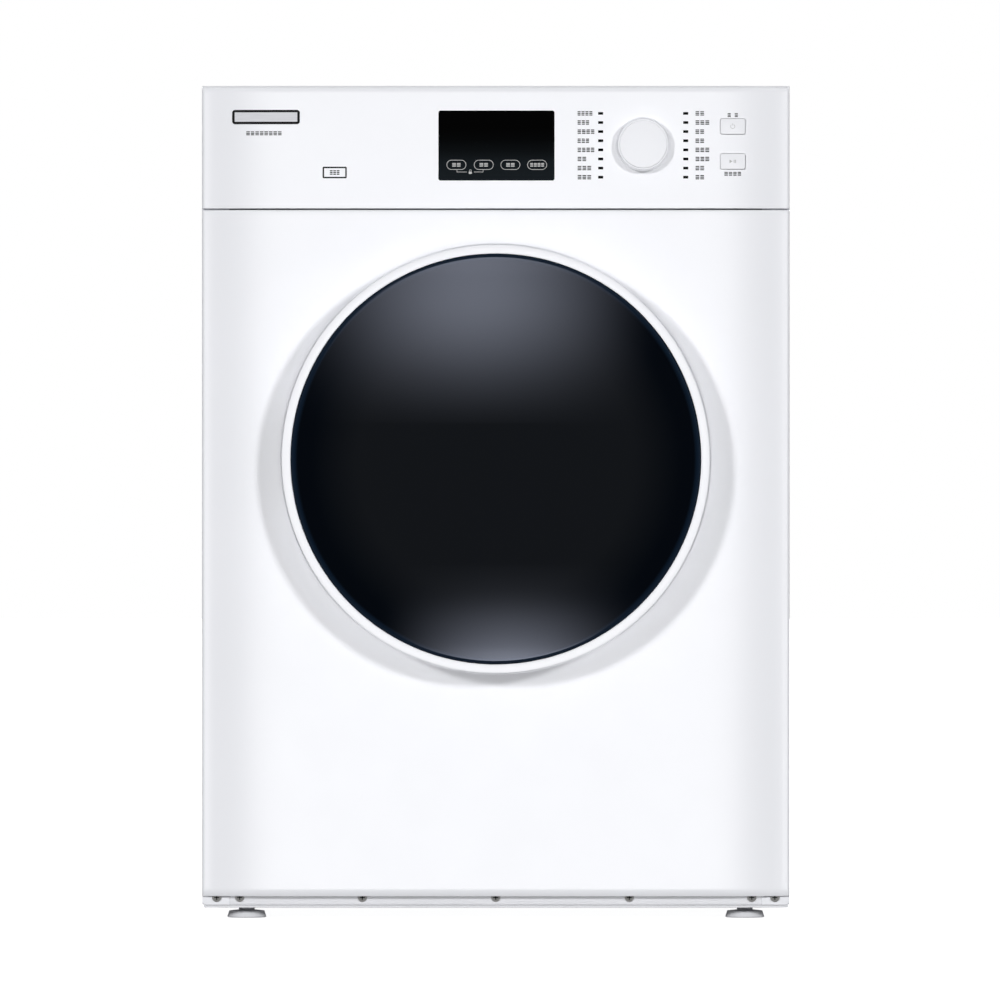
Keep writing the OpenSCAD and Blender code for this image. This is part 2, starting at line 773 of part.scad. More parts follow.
module hinge_leaf() color(zinc) difference() {
    union() {
        from_above(-19, 19) translate([hinge_x, hinge_out]) circle(knuckle_r);
        from_above(-19, 19) translate([hinge_x, 30.1]) square([40, 3.4]);
        from_above(-38, 38) translate([hinge_x + 14, 30.1]) square([42, 3.4]);
    }
    from_above(-60, 60) translate([hinge_x, hinge_out]) circle(pin_r + fit);
}

// Room that the fixed part of the hinge needs inside the door.
module hinge_notch() from_above(-notch_half, notch_half)
    intersection() {
        translate([hinge_x, hinge_out]) circle(35);
        translate([-300, -20]) square([200, 56.3]);
    }

module door_ring() color(trim_white) difference() {
    facing(0, door_z) rotate_extrude($fn = 180) polygon([
        [200.2, 1.5], [203, 1.5], [ring_r, 37], [ring_r, 39.2], [ring_r - 1.4, 41.2],
        [ring_r - 3, 42], [glass_r + 2.4, 42], [glass_r + 0.8, 41.2], [glass_r + 0.3, 40.2],
        [glass_r + 0.3, 36.2], [203, 36.2], [203, 33.6], [213.2, 33.6]
    ]);
    hinge_notch();
}

// Radius of the sphere that the door glass is cut from.
dome_rise = dome_stand - 40.8;
dome_r = (glass_r * glass_r + dome_rise * dome_rise) / (2 * dome_rise);

module door_glass() color(dark) facing(0, door_z) difference() {
    intersection() {
        translate([0, 0, 30]) cylinder(r = glass_r, h = 60, $fn = 180);
        translate([0, 0, dome_stand - dome_r]) sphere(r = dome_r, $fn = 400);
    }
    translate([0, 0, dome_stand - dome_r]) sphere(r = dome_r - 4, $fn = 400);
}

module door_inner_frame() color(trim_white) difference() {
    facing(0, door_z) rotate_extrude($fn = 180) polygon([
        [153, 3], [198.5, 3], [198.5, 30.5], [208, 30.5], [208, 33.5], [195.5, 33.5],
        [195.5, 6], [156, 6], [156, 30], [153, 30]
    ]);
    hinge_notch();
}

// Radius of the sphere at the bottom of the bowl.
bowl_r = 150;
bowl_sphere = (bowl_r * bowl_r + bowl_depth * bowl_depth) / (2 * bowl_depth);

module door_bowl() color([0.6, 0.7, 0.75]) facing(0, door_z) difference() {
    union() {
        intersection() {
            translate([0, 0, -60]) cylinder(r = bowl_r, h = 88, $fn = 180);
            translate([0, 0, bowl_sphere - bowl_depth]) sphere(r = bowl_sphere, $fn = 200);
        }
        translate([0, 0, 24]) cylinder(r = 152.8, h = 4, $fn = 180);
    }
    intersection() {
        translate([0, 0, -60]) cylinder(r = bowl_r - 4, h = 120, $fn = 180);
        translate([0, 0, bowl_sphere - bowl_depth]) sphere(r = bowl_sphere - 4, $fn = 200);
    }
}

module door_seal() color("dimgray") facing(0, door_z) translate([0, 0, 0.5]) tube(180, 172, 2.49);

module door_hook() color(steel) {
    block([184, -2.9, door_z - 14], [192, -0.5, door_z + 14]);
    block([186, -2.9, door_z - 9], [190, 22, door_z + 9]);
    block([181, 16, door_z - 9], [189, 22, door_z + 9]);
}

// ---- fasteners, gland and feet ----

// A domed screw head with a cross recess and its shank, Z out of the head.
module cross_screw() {
    difference() {
        intersection() {
            cylinder(r = 4.75, h = 2.6);
            translate([0, 0, -5.4]) sphere(r = 8);
        }
        for (turn = [0, 90])
            rotate(turn) translate([-2.6, -0.5, 1.4]) cube([5.2, 1, 3]);
    }
    translate([0, 0, -8]) cylinder(r = 2, h = 8.5);
}

module case_screws() color(steel) {
    plinth_screw_places() cross_screw();
    rear_screw_places() cross_screw();
}

module cord_gland() color("black") inward(gland_x, gland_z, cabinet_d - 10) difference() {
    union() {
        cylinder(r = 10, h = 20);
        translate([0, 0, 10.05]) cylinder(r = 14, h = 4);
        translate([0, 0, 4.5]) cylinder(r = 13, h = 4);
    }
    translate([0, 0, -1]) cylinder(r = gland_bore_r, h = 30);
}

// A levelling foot: pad, jam nut and threaded stud.
module foot(side, y) color("dimgray") translate([side * foot_x, y, 0]) {
    rotate_extrude() polygon([[0, 0], [foot_r - 1, 0], [foot_r, 1], [foot_r - 2, 7], [9, 8], [0, 8]]);
    translate([0, 0, 7.5]) cylinder(r = 8, h = 3, $fn = 6);
    cylinder(r = stud_r, h = 40);
}

module foot_front_left() foot(-1, front_y + foot_inset);

module foot_front_right() foot(1, front_y + foot_inset);

module foot_rear_left() foot(-1, rear_y - foot_inset);

module foot_rear_right() foot(1, rear_y - foot_inset);

base_pan();
plinth_strip();
side_panel_left();
side_panel_right();
rear_panel();
rear_cover();
worktop();
front_panel();
control_fascia();
display_window();
indicator_lenses();
control_board();
selector_encoder();
selector_knob();
power_button();
start_button();
front_bulkhead();
front_collar();
sensor_bars();
drum_lamp();
lint_filter_frame();
lint_filter_mesh();
lint_duct();
fan_housing();
blower_wheel();
exhaust_duct();
motor_body();
motor_shaft();
motor_bracket();
idler_arm();
idler_pulley();
drum_belt();
drum_shell();
drum_back();
drum_lifters();
drum_shaft();
drum_bearing();
rear_bulkhead();
felt_seals();
heater_housing();
heater_element();
thermostats();
roller_left();
roller_right();
door_latch();
hinge_bracket();
hinge_pin();
hinge_leaf();
door_ring();
door_glass();
door_inner_frame();
door_bowl();
door_seal();
door_hook();
case_screws();
cord_gland();
foot_front_left();
foot_front_right();
foot_rear_left();
foot_rear_right();
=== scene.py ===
"""Looks, light and camera of a front-loading clothes dryer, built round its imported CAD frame.

Metres, +X right, +Y back, +Z up, the door facing -Y. The CAD nodes hold the structure. The pieces
that are made here stand for the nodes whose edges, print and rolled sheet need finer meshes.
"""

import json
import math

import bmesh
import bpy
from mathutils import Matrix, Vector


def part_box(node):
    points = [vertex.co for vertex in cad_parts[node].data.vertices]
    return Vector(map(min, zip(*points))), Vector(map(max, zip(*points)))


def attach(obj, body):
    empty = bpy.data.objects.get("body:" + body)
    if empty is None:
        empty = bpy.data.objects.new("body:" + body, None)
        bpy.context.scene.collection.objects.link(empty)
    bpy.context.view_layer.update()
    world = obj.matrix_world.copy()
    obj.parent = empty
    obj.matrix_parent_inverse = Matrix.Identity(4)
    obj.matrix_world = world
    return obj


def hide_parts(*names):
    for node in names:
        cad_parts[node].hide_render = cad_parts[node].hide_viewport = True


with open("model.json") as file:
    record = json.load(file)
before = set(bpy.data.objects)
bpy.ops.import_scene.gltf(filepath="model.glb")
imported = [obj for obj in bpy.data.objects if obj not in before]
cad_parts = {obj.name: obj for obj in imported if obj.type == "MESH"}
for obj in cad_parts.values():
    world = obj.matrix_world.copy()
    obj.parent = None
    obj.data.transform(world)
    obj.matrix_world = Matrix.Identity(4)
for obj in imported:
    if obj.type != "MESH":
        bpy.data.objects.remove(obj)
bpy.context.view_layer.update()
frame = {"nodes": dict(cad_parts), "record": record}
NODES = frame["nodes"]
MM = 0.001

# ---- places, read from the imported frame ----
PANEL_LOW, PANEL_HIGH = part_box("front_panel")
FASCIA_LOW, FASCIA_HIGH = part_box("control_fascia")
RING_LOW, RING_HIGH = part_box("door_ring")
GLASS_LOW, GLASS_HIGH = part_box("door_glass")
WINDOW_LOW, WINDOW_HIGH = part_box("display_window")
KNOB_LOW, KNOB_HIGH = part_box("selector_knob")
LENS_LOW, LENS_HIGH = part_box("indicator_lenses")
TOP_LOW, TOP_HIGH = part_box("worktop")
STRIP_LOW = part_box("plinth_strip")[0]

FRONT_Y = PANEL_LOW.y
HALF_W = FASCIA_HIGH.x
DOOR_Z = (RING_LOW.z + RING_HIGH.z) / 2
RING_R = (RING_HIGH.x - RING_LOW.x) / 2
GLASS_R = (GLASS_HIGH.x - GLASS_LOW.x) / 2
DOME_STAND = FRONT_Y - GLASS_LOW.y
WINDOW_X = (WINDOW_LOW.x + WINDOW_HIGH.x) / 2
WINDOW_Z = (WINDOW_LOW.z + WINDOW_HIGH.z) / 2
WINDOW_W = WINDOW_HIGH.x - WINDOW_LOW.x
WINDOW_H = WINDOW_HIGH.z - WINDOW_LOW.z
KNOB_X = (KNOB_LOW.x + KNOB_HIGH.x) / 2
KNOB_Z = (KNOB_LOW.z + KNOB_HIGH.z) / 2
KNOB_R = (KNOB_HIGH.x - KNOB_LOW.x) / 2
KNOB_STAND = FRONT_Y - KNOB_LOW.y
CAD_LENS_W = 4.9 * MM
LENS_X = (LENS_LOW.x + LENS_HIGH.x) / 2
LENS_DX = (LENS_HIGH.x - LENS_LOW.x - CAD_LENS_W) / 2
LENS_TOP_Z = LENS_HIGH.z - 1.65 * MM

# ---- shapes of the sheet metal and mouldings ----
# The front is flat for FLAT_HALF to each side, then drops back by SIDE_DROP to its corners.
FLAT_HALF = 205 * MM
SIDE_DROP = 5 * MM
CORNER_R = 3 * MM
SHEET = 1.2 * MM
SKIRT = 10 * MM
PORTHOLE_R = 166 * MM
LENS_ROWS = 8
LENS_PITCH = 9.3 * MM
# What the flange of a push button adds to the size of its face.
FLANGE_W, FLANGE_H = 4 * MM, 3 * MM
# How far a cutter reaches to either side of the front.
CUT_REACH = 20 * MM
# How far print is sunk into what it lies on, and how thick the signs on the buttons are.
PRINT_BACK = 0.05 * MM
ICON_THICK = 0.06 * MM
SMOOTH_ANGLE = 32

# ---- strengths and tints of the light ----
SKY = 0.135
SKY_TINT = (0.985, 0.99, 1.0)
SKY_IN_GLOSS = 0.3
# Sines of the angle off the Y axis, and how bright the sky is there in gloss.
DARK_RING = ((0.28, 1), (0.37, 0.15), (0.50, 0.15), (0.70, 1), (1, 1))
KEY = 1.255
REAR = 1.6
FRONT_GLOSS = 0.45
FLOOR_GLOW = 0.25
FLOOR_BOUNCE = 1.0
FLOOR_WHITE = 0.88

# ---- softboxes that the domed glass mirrors ----
# A glow pairs an elevation in degrees with a fraction of the peak radiance.
CARD_TINT = (0.885, 0.95, 1.17)
HIGH_PEAK = 7.6
HIGH_GLOW = (
    (4.5, 0.0), (7.3, 0.09), (10.2, 0.25), (13.0, 0.5), (15.8, 0.75),
    (18.7, 0.95), (21.5, 0.95), (23.0, 0.95), (25.0, 1.4), (29, 1.6),
)
LOW_PEAK = 12.6
LOW_GLOW = (
    (-29, 1.2), (-25.0, 1.0), (-23.2, 0.72), (-22.3, 0.50), (-20.9, 0.35),
    (-19.4, 0.24), (-18.0, 0.14), (-16.6, 0.06), (-15.2, 0.03), (-12.5, 0.0),
)


# ---- mesh helpers ----

def add_mesh(name, bm):
    """A mesh made of a bmesh, which is freed."""
    mesh = bpy.data.meshes.new(name)
    bm.to_mesh(mesh)
    bm.free()
    return mesh


def add_object(name, data):
    """An object in the scene that shows some data."""
    made = bpy.data.objects.new(name, data)
    bpy.context.scene.collection.objects.link(made)
    return made


def new_piece(name, bm, material, body, replaces=(), smooth=SMOOTH_ANGLE):
    """Turns a bmesh into a piece that rides on a body, with its finish in a slot.

    It is smooth but for edges sharper than an angle in degrees.
    """
    bmesh.ops.remove_doubles(bm, verts=bm.verts, dist=0.004 * MM)
    bmesh.ops.dissolve_degenerate(bm, edges=bm.edges, dist=0.002 * MM)
    bmesh.ops.recalc_face_normals(bm, faces=bm.faces)
    shade_by_angle(bm, smooth)
    mesh = add_mesh(name, bm)
    mesh.materials.append(material)
    piece = add_object(name, mesh)
    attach(piece, body)
    if replaces:
        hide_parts(*replaces)
    return piece


def shade_by_angle(bm, degrees):
    """Smooth faces, with sharp edges where two faces meet at more than an angle."""
    limit = math.radians(degrees)
    for face in bm.faces:
        face.smooth = True
    for edge in bm.edges:
        if len(edge.link_faces) == 2:
            edge.smooth = edge.calc_face_angle(0) < limit


def facing(x, z, out=0.0):
    """Puts a shape drawn with X right, Y up and Z towards the user onto the front plane."""
    return Matrix.Translation((x, FRONT_Y - out, z)) @ Matrix.Rotation(math.pi / 2, 4, "X")


def bridge(bm, rings, closed=True):
    """Quads between neighbouring rings of vertices."""
    for low, high in zip(rings, rings[1:]):
        n = len(low)
        for i in range(n if closed else n - 1):
            j = (i + 1) % n
            corners = [low[i], low[j], high[j], high[i]]
            if len(set(corners)) >= 3:
                bm.faces.new(list(dict.fromkeys(corners)))


def fillet(points, steps=5):
    """Rounds the corners of an outline; a point is (x, y) or (x, y, radius)."""
    out = []
    n = len(points)
    for i, point in enumerate(points):
        here = Vector(point[:2])
        radius = point[2] if len(point) > 2 else 0
        if radius <= 0:
            out.append(here)
            continue
        before = (Vector(points[i - 1][:2]) - here).normalized()
        after = (Vector(points[(i + 1) % n][:2]) - here).normalized()
        half = before.angle(after) / 2
        reach = radius / math.tan(half)
        start, end = here + before * reach, here + after * reach
        centre = here + (before + after).normalized() * radius / math.sin(half)
        a0 = math.atan2(start.y - centre.y, start.x - centre.x)
        a1 = math.atan2(end.y - centre.y, end.x - centre.x)
        turn = (a1 - a0 + math.pi) % (2 * math.pi) - math.pi
        for k in range(steps + 1):
            a = a0 + turn * k / steps
            out.append(centre + radius * Vector((math.cos(a), math.sin(a))))
    return out


def lathe(bm, profile, place, segments=96, closed=True):
    """Turns an outline of (radius, height) about its height axis; a closed one is a solid ring."""
    rings = []
    for r, h in profile:
        if r < 1e-6:
            rings.append([bm.verts.new(place @ Vector((0, 0, h)))] * segments)
            continue
        rings.append([
            bm.verts.new(place @ Vector((r * math.cos(a), r * math.sin(a), h)))
            for a in (2 * math.pi * i / segments for i in range(segments))
        ])
    bridge(bm, rings + rings[:1] if closed else rings)


def rounded_outline(w, h, r, steps=6):
    """Centred rectangle with round corners, as points that run anticlockwise."""
    r = max(r, 0.01 * MM)
    points = []
    for sx, sy, start in ((1, 1, 0), (-1, 1, 90), (-1, -1, 180), (1, -1, 270)):
        for k in range(steps + 1):
            a = math.radians(start + 90 * k / steps)
            x = sx * (w / 2 - r) + r * math.cos(a)
            y = sy * (h / 2 - r) + r * math.sin(a)
            points.append((x, y))
    return points


def slab(bm, w, h, r, levels, place, steps=6):
    """A rounded rectangle with capped ends.

    levels are (inset, height) from its back to its front.
    """
    rings = []
    for inset, height in levels:
        outline = rounded_outline(w - 2 * inset, h - 2 * inset, r - inset, steps)
        rings.append([bm.verts.new(place @ Vector((x, y, height))) for x, y in outline])
    bridge(bm, rings)
    bm.faces.new(rings[0])
    bm.faces.new(rings[-1])


def rolled(depth, top, r, steps=4):
    """Levels of a slab whose front edge is rolled with a radius."""
    arc = [math.radians(90 * k / steps) for k in range(steps + 1)]
    return [(0, depth)] + [(r - r * math.cos(a), top - r + r * math.sin(a)) for a in arc]


def cut(piece, fill):
    """Takes the solids that fill() draws out of a piece, for good."""
    bm = bmesh.new()
    fill(bm)
    bmesh.ops.recalc_face_normals(bm, faces=bm.faces)
    mesh = add_mesh("cutter", bm)
    cutter = add_object("cutter", mesh)
    boolean = piece.modifiers.new("cut", "BOOLEAN")
    boolean.operation = "DIFFERENCE"
    boolean.solver = "EXACT"
    boolean.object = cutter
    apply_modifiers(piece)
    bpy.data.objects.remove(cutter)
    bpy.data.meshes.remove(mesh)


def apply_modifiers(piece):
    """Makes the result of a piece's modifiers its mesh."""
    bpy.context.view_layer.update()
    evaluated = piece.evaluated_get(bpy.context.evaluated_depsgraph_get())
    result = bpy.data.meshes.new_from_object(evaluated)
    piece.modifiers.clear()
    old, piece.data = piece.data, result
    result.name = piece.name
    bpy.data.meshes.remove(old)
    bm = bmesh.new()
    bm.from_mesh(result)
    shade_by_angle(bm, SMOOTH_ANGLE)
    bm.to_mesh(result)
    bm.free()


# ---- materials ----

def grey(value, tint=(1.0, 1.0, 1.0)):
    """A linear colour of one brightness, tinted."""
    return tuple(value * t for t in tint)


def set_stops(ramp, stops):
    """Gives a colour ramp its stops, which are (position, colour)."""
    band = ramp.color_ramp
    while len(band.elements) < len(stops):
        band.elements.new(0.5)
    for element, (position, colour) in zip(band.elements, stops):
        element.position = position
        element.color = (*colour, 1)


class Finish:
    """A Principled material whose procedural nodes drive its colour, roughness and relief."""

    def __init__(self, name, **shader):
        self.material = bpy.data.materials.new(name)
        self.material.use_nodes = True
        self.nodes = self.material.node_tree.nodes
        self.links = self.material.node_tree.links
        self.shader = self.nodes["Principled BSDF"]
        for socket, value in shader.items():
            self.shader.inputs[socket.replace("_", " ")].default_value = value
        self.place = self.nodes.new("ShaderNodeTexCoord").outputs["Object"]

    def node(self, kind, values=(), **settings):
        """Adds a node; values are inputs, by name or number, as numbers or sockets to link."""
        made = self.nodes.new(kind)
        for key, value in settings.items():
            setattr(made, key, value)
        for key, value in dict(values).items():
            if isinstance(value, bpy.types.NodeSocket):
                self.links.new(value, made.inputs[key])
            else:
                made.inputs[key].default_value = value
        return made

    def stretched(self, x, y, z):
        """The place on the object, scaled along each axis."""
        values = {"Vector": self.place, "Scale": (x, y, z)}
        return self.node("ShaderNodeMapping", values).outputs[0]

    def noise(self, scale, detail=3, where=None, rough=0.5):
        return self.node("ShaderNodeTexNoise", {
            "Vector": where or self.place, "Scale": scale, "Detail": detail, "Roughness": rough,
        }).outputs["Fac"]

    def spread(self, value, low, high, start=0.3, end=0.7):
        """Maps a texture value onto a range."""
        return self.node("ShaderNodeMapRange", {
            "Value": value, "From Min": start, "From Max": end, "To Min": low, "To Max": high,
        }).outputs["Result"]

    def colours(self, value, *stops):
        ramp = self.node("ShaderNodeValToRGB", {"Fac": value})
        set_stops(ramp, stops)
        self.links.new(ramp.outputs["Color"], self.shader.inputs["Base Color"])
        return self

    def roughness(self, value, low, high, start=0.3, end=0.7):
        self.links.new(self.spread(value, low, high, start, end), self.shader.inputs["Roughness"])
        return self

    def relief(self, value, depth, strength=1.0):
        """Adds bump of a depth in metres over any that is there."""
        before = self.shader.inputs["Normal"].links
        values = {"Height": value, "Distance": depth, "Strength": strength}
        if before:
            values["Normal"] = before[0].from_socket
        bump = self.node("ShaderNodeBump", values)
        self.links.new(bump.outputs["Normal"], self.shader.inputs["Normal"])
        return self


# Tints that multiply a grey: the cabinet's white, the door's glass, and the display's glass with
# its painted reflection.
COOL = (0.980, 0.989, 1.03)
SMOKE = (0.3, 0.74, 1.55)
NIGHT = (0.82, 1.12, 1.36)
# A place past the end of any glass, for one without a ground edge.
NO_GROUND_EDGE = 2.0


def painted(name, tone, rough, tint=COOL, orange_peel=0.008 * MM, spread=0.008):
    """Sprayed and baked enamel: faint orange peel, and gloss that wanders a little."""
    f = Finish(name)
    slow = f.noise(9, 2)
    f.colours(slow, (0.35, grey(tone * (1 - spread), tint)), (0.65, grey(tone, tint)))
    f.roughness(f.noise(40, 3), rough - 0.006, rough + 0.006)
    f.relief(f.noise(900, 2), orange_peel, 0.5)
    return f.material


def moulded(name, tone, rough, tint=(1, 1, 1), grain=0.010 * MM, spread=0.02, wander=0.05,
            specular=0.5):
    """Injection moulded plastic: fine spark-eroded grain under a soft gloss."""
    f = Finish(name, Specular_IOR_Level=specular)
    f.colours(f.noise(14, 2), (0.3, grey(tone * (1 - spread), tint)), (0.7, grey(tone, tint)))
    f.roughness(f.noise(60, 3), rough - wander, rough + wander)
    f.relief(f.noise(1500, 2), grain, 0.7)
    return f.material


def galvanised(name, tone):
    """Zinc spangle: flat crystals a few millimetres wide, each with its own tone and gloss."""
    f = Finish(name, Metallic=0.85)
    crystals = f.node("ShaderNodeTexVoronoi", {"Vector": f.place, "Scale": 140.0}, feature="F1")
    crystal = f.node("ShaderNodeSeparateColor", {"Color": crystals.outputs["Color"]}).outputs[0]
    blend = f.node("ShaderNodeMath", {0: crystal, 1: f.noise(30, 3)}, operation="ADD").outputs[0]
    f.colours(blend, (0.35, grey(tone * 0.84, COOL)), (1.0, grey(tone, COOL)))
    f.roughness(crystal, 0.34, 0.50, 0, 1)
    f.relief(f.noise(500, 3), 0.01 * MM, 0.5)
    return f.material


def brushed(name, tone, rough, tint=(1, 1, 1), along=(1, 1, 1), metallic=1.0):
    """Metal with fine drawn lines; along has a small number on the axis that the lines follow."""
    f = Finish(name, Metallic=metallic)
    lines = f.noise(900, 4, f.stretched(*along), 0.6)
    f.colours(lines, (0.3, grey(tone * 0.88, tint)), (0.7, grey(tone, tint)))
    f.roughness(lines, rough - 0.07, rough + 0.07)
    f.relief(lines, 0.006 * MM, 0.5)
    return f.material


def felt(name, tone):
    """Loose fibres with a sheen."""
    f = Finish(name, Sheen_Weight=0.6, Sheen_Roughness=0.5)
    fibres = f.noise(1400, 5, None, 0.7)
    f.colours(fibres, (0.3, grey(tone * 0.6)), (0.7, grey(tone * 1.1)))
    f.roughness(fibres, 0.86, 0.98)
    f.relief(fibres, 0.25 * MM, 0.9)
    return f.material


def rubber(name, tone):
    """Matt moulded rubber with a dusty grain."""
    f = Finish(name)
    f.colours(f.noise(120, 4), (0.3, grey(tone * 0.8)), (0.7, grey(tone * 1.1)))
    f.roughness(f.noise(260, 3), 0.55, 0.75)
    f.relief(f.noise(1500, 3), 0.02 * MM, 0.8)
    return f.material


def black_glass(name, specular, tint, where, ground_from, *stops):
    """Back-printed black glass.

    where gives a place from 0 to 1, and stops pair places with tones of print and of painted
    reflection. The surface is ground matt from the place ground_from on.
    """
    f = Finish(name, Specular_IOR_Level=specular, IOR=1.5)
    place = where(f)
    f.colours(place, *[(position, grey(tone, tint)) for position, tone in stops])
    wander = f.spread(f.noise(25, 4), 0.03, 0.07)
    ground = f.spread(place, 0, 0.5, ground_from, ground_from + 0.002)
    f.links.new(f.node("ShaderNodeMath", {0: wander, 1: ground}, operation="ADD").outputs[0],
                f.shader.inputs["Roughness"])
    return f.material


def from_door_axis(f):
    """0 at the middle of the door, 1 at the edge of its glass."""
    flat = f.node("ShaderNodeMapping", {
        "Vector": f.place,
        "Location": (0, 0, -DOOR_Z / GLASS_R),
        "Scale": (1 / GLASS_R, 0, 1 / GLASS_R),
    }).outputs[0]
    return f.node("ShaderNodeVectorMath", {0: flat}, operation="LENGTH").outputs["Value"]


def up_the_window(f):
    """0 at the bottom of the display window, 1 at its top."""
    height = f.node("ShaderNodeSeparateXYZ", {0: f.place}).outputs["Z"]
    return f.spread(height, 0, 1, WINDOW_LOW.z, WINDOW_HIGH.z)


def clear_glass(name):
    """Pressed glass, a little wavy and greenish."""
    f = Finish(name, Transmission_Weight=0.9, IOR=1.5)
    f.colours(f.noise(5, 2), (0.3, (0.80, 0.86, 0.87)), (0.7, (0.88, 0.93, 0.94)))
    f.roughness(f.noise(30, 3), 0.02, 0.06)
    f.relief(f.noise(9, 1), 0.03 * MM, 0.3)
    return f.material


def print_ink(name, tone, specular=0.5):
    """Screen-printed ink, matt and slightly uneven."""
    f = Finish(name, Specular_IOR_Level=specular)
    f.colours(f.noise(300, 2), (0.3, grey(tone * 0.92)), (0.7, grey(tone * 1.06)))
    f.roughness(f.noise(500, 2), 0.42, 0.55)
    f.relief(f.noise(1800, 2), 0.004 * MM, 0.5)
    return f.material


ENAMEL = painted("enamel_white", 0.93, 0.28)
FASCIA = moulded("fascia_white", 0.93, 0.28, COOL, 0.003 * MM, 0.006, 0.005)
DOOR_WHITE = moulded("door_white", 0.925, 0.28, COOL, 0.002 * MM, 0.006, 0.005)
CONTROL_WHITE = moulded("control_white", 0.94, 0.335, COOL, 0.002 * MM, 0.006, 0.005)
LAMINATE = moulded("laminate_white", 0.91, 0.46, COOL, 0.006 * MM, 0.012, 0.02)
PLINTH = painted("plinth_grey", 0.61, 0.42, COOL, 0.010 * MM, 0.03)
# The door glass's rim band is grey print, painted lighter to stand for the reflection of the bevel
# at its edge.
GLASS = black_glass("door_black_glass", 0.25, SMOKE, from_door_axis, 0.995,
                    (0.0, 0.0026), (0.965, 0.0026), (0.982, 0.015))
# The display's glass is painted lighter towards its bottom: a painted reflection.
DISPLAY = black_glass("display_black_painted_reflection", 0.05, NIGHT, up_the_window, NO_GROUND_EDGE,
                      (0.04, 0.0118), (0.26, 0.0098), (0.42, 0.0040), (0.58, 0.0012),
                      (0.75, 0.0001))
INK = print_ink("ink_black", 0.012, 0.2)
INK_SOFT = print_ink("ink_soft_grey", 0.52)
INK_PALE = print_ink("ink_pale_grey", 0.62)
LENS = moulded("lens_smoke", 0.0015, 0.5, (1, 1, 1), 0.002 * MM, specular=0.08)
LIGHT_PLASTIC = moulded("light_moulding", 0.78, 0.45, COOL)
DARK_PLASTIC = moulded("dark_moulding", 0.016, 0.48)
ZINC = galvanised("zinc_spangle", 0.62)
SCREW_STEEL = brushed("screw_steel", 0.62, 0.34, (1, 0.99, 0.97), metallic=0.8)


# ---- the curved front ----

def front_drop(x):
    """How far the front lies behind the front plane at x.

    It is flat in the middle. To each side its slope grows with the square of the way, up to a
    shoulder, and is gone again at the corner.
    """
    way = min((abs(x) - FLAT_HALF) / (HALF_W - CORNER_R - FLAT_HALF), 1.0)
    return SIDE_DROP * (way ** 3 / 3 - way ** 11 / 11) / (1 / 3 - 1 / 11) if way > 0 else 0.0


def front_half():
    """Plan points from the middle to the start of the right skirt."""
    edge = HALF_W - CORNER_R
    points = [(FLAT_HALF * i / 9, 0.0) for i in range(9)]
    for i in range(31):
        x = FLAT_HALF + (edge - FLAT_HALF) * i / 30
        points.append((x, front_drop(x)))
    for degrees in (82, 73, 64, 55, 46, 36, 26, 17, 8, 0):
        a = math.radians(degrees)
        depth = SIDE_DROP + CORNER_R - CORNER_R * math.sin(a)
        points.append((edge + CORNER_R * math.cos(a), depth))
    return points


def front_skin(bm, rows):
    """A sheet round the front.

    A row is (height, how far the edge rolls back, depth of the skirts).
    """
    half = front_half()
    plan = [(-x, d) for x, d in reversed(half[1:])] + half
    rings = []
    for z, roll, skirt in rows:
        front = [(x, min(d + roll, skirt)) for x, d in plan]
        ring = [(-HALF_W, skirt)] + front + [(HALF_W, skirt)]
        rings.append([bm.verts.new((x, FRONT_Y + d, z)) for x, d in ring])
    bridge(bm, rings, closed=False)


def roll_rows(z, r, up, skirt, start=0, steps=7):
    """Rows of a rolled edge, from its end at z to the flat front.

    The roll begins at a start angle off the square edge. up is 1 for a lower edge and -1 for an
    upper one.
    """
    first = math.radians(start)
    rows = []
    for k in range(steps + 1):
        a = first + (math.pi / 2 - first) * k / steps
        rows.append((z + up * r * (math.cos(first) - math.cos(a)), r - r * math.sin(a), skirt))
    return rows


def flat_rows(low, high, count, skirt):
    """Rows between two rolled edges; the first and last lie close to the rolls to hold it flat."""
    return [(low + (high - low) * k / count, 0, skirt) for k in range(count + 1)]


def drape(bm):
    """Lays a flat-backed shape on the curved sides of the front, cut into strips that can bend."""
    edge = FLAT_HALF
    while edge < HALF_W:
        for side in (-1, 1):
            whole = bm.verts[:] + bm.edges[:] + bm.faces[:]
            bmesh.ops.bisect_plane(bm, geom=whole, dist=0.001 * MM,
                                   plane_co=(side * edge, 0, 0), plane_no=(1, 0, 0))
        edge += 3 * MM
    for v in bm.verts:
        v.co.y += front_drop(v.co.x)


def thicken(piece):
    """Gives a skin the thickness of the sheet, inwards."""
    solid = piece.modifiers.new("sheet", "SOLIDIFY")
    solid.thickness = SHEET
    solid.offset = -1
    apply_modifiers(piece)


def drill(bm, radius, x, z, segments):
    """A round cutter through the front."""
    lathe(bm, [(0, -CUT_REACH), (radius, -CUT_REACH), (radius, CUT_REACH), (0, CUT_REACH)],
          facing(x, z), segments, closed=False)


def punch(bm, w, h, r, x, z):
    """A cutter through the front with the outline of a rounded rectangle."""
    slab(bm, w, h, r, [(0, -CUT_REACH), (0, CUT_REACH)], facing(x, z))


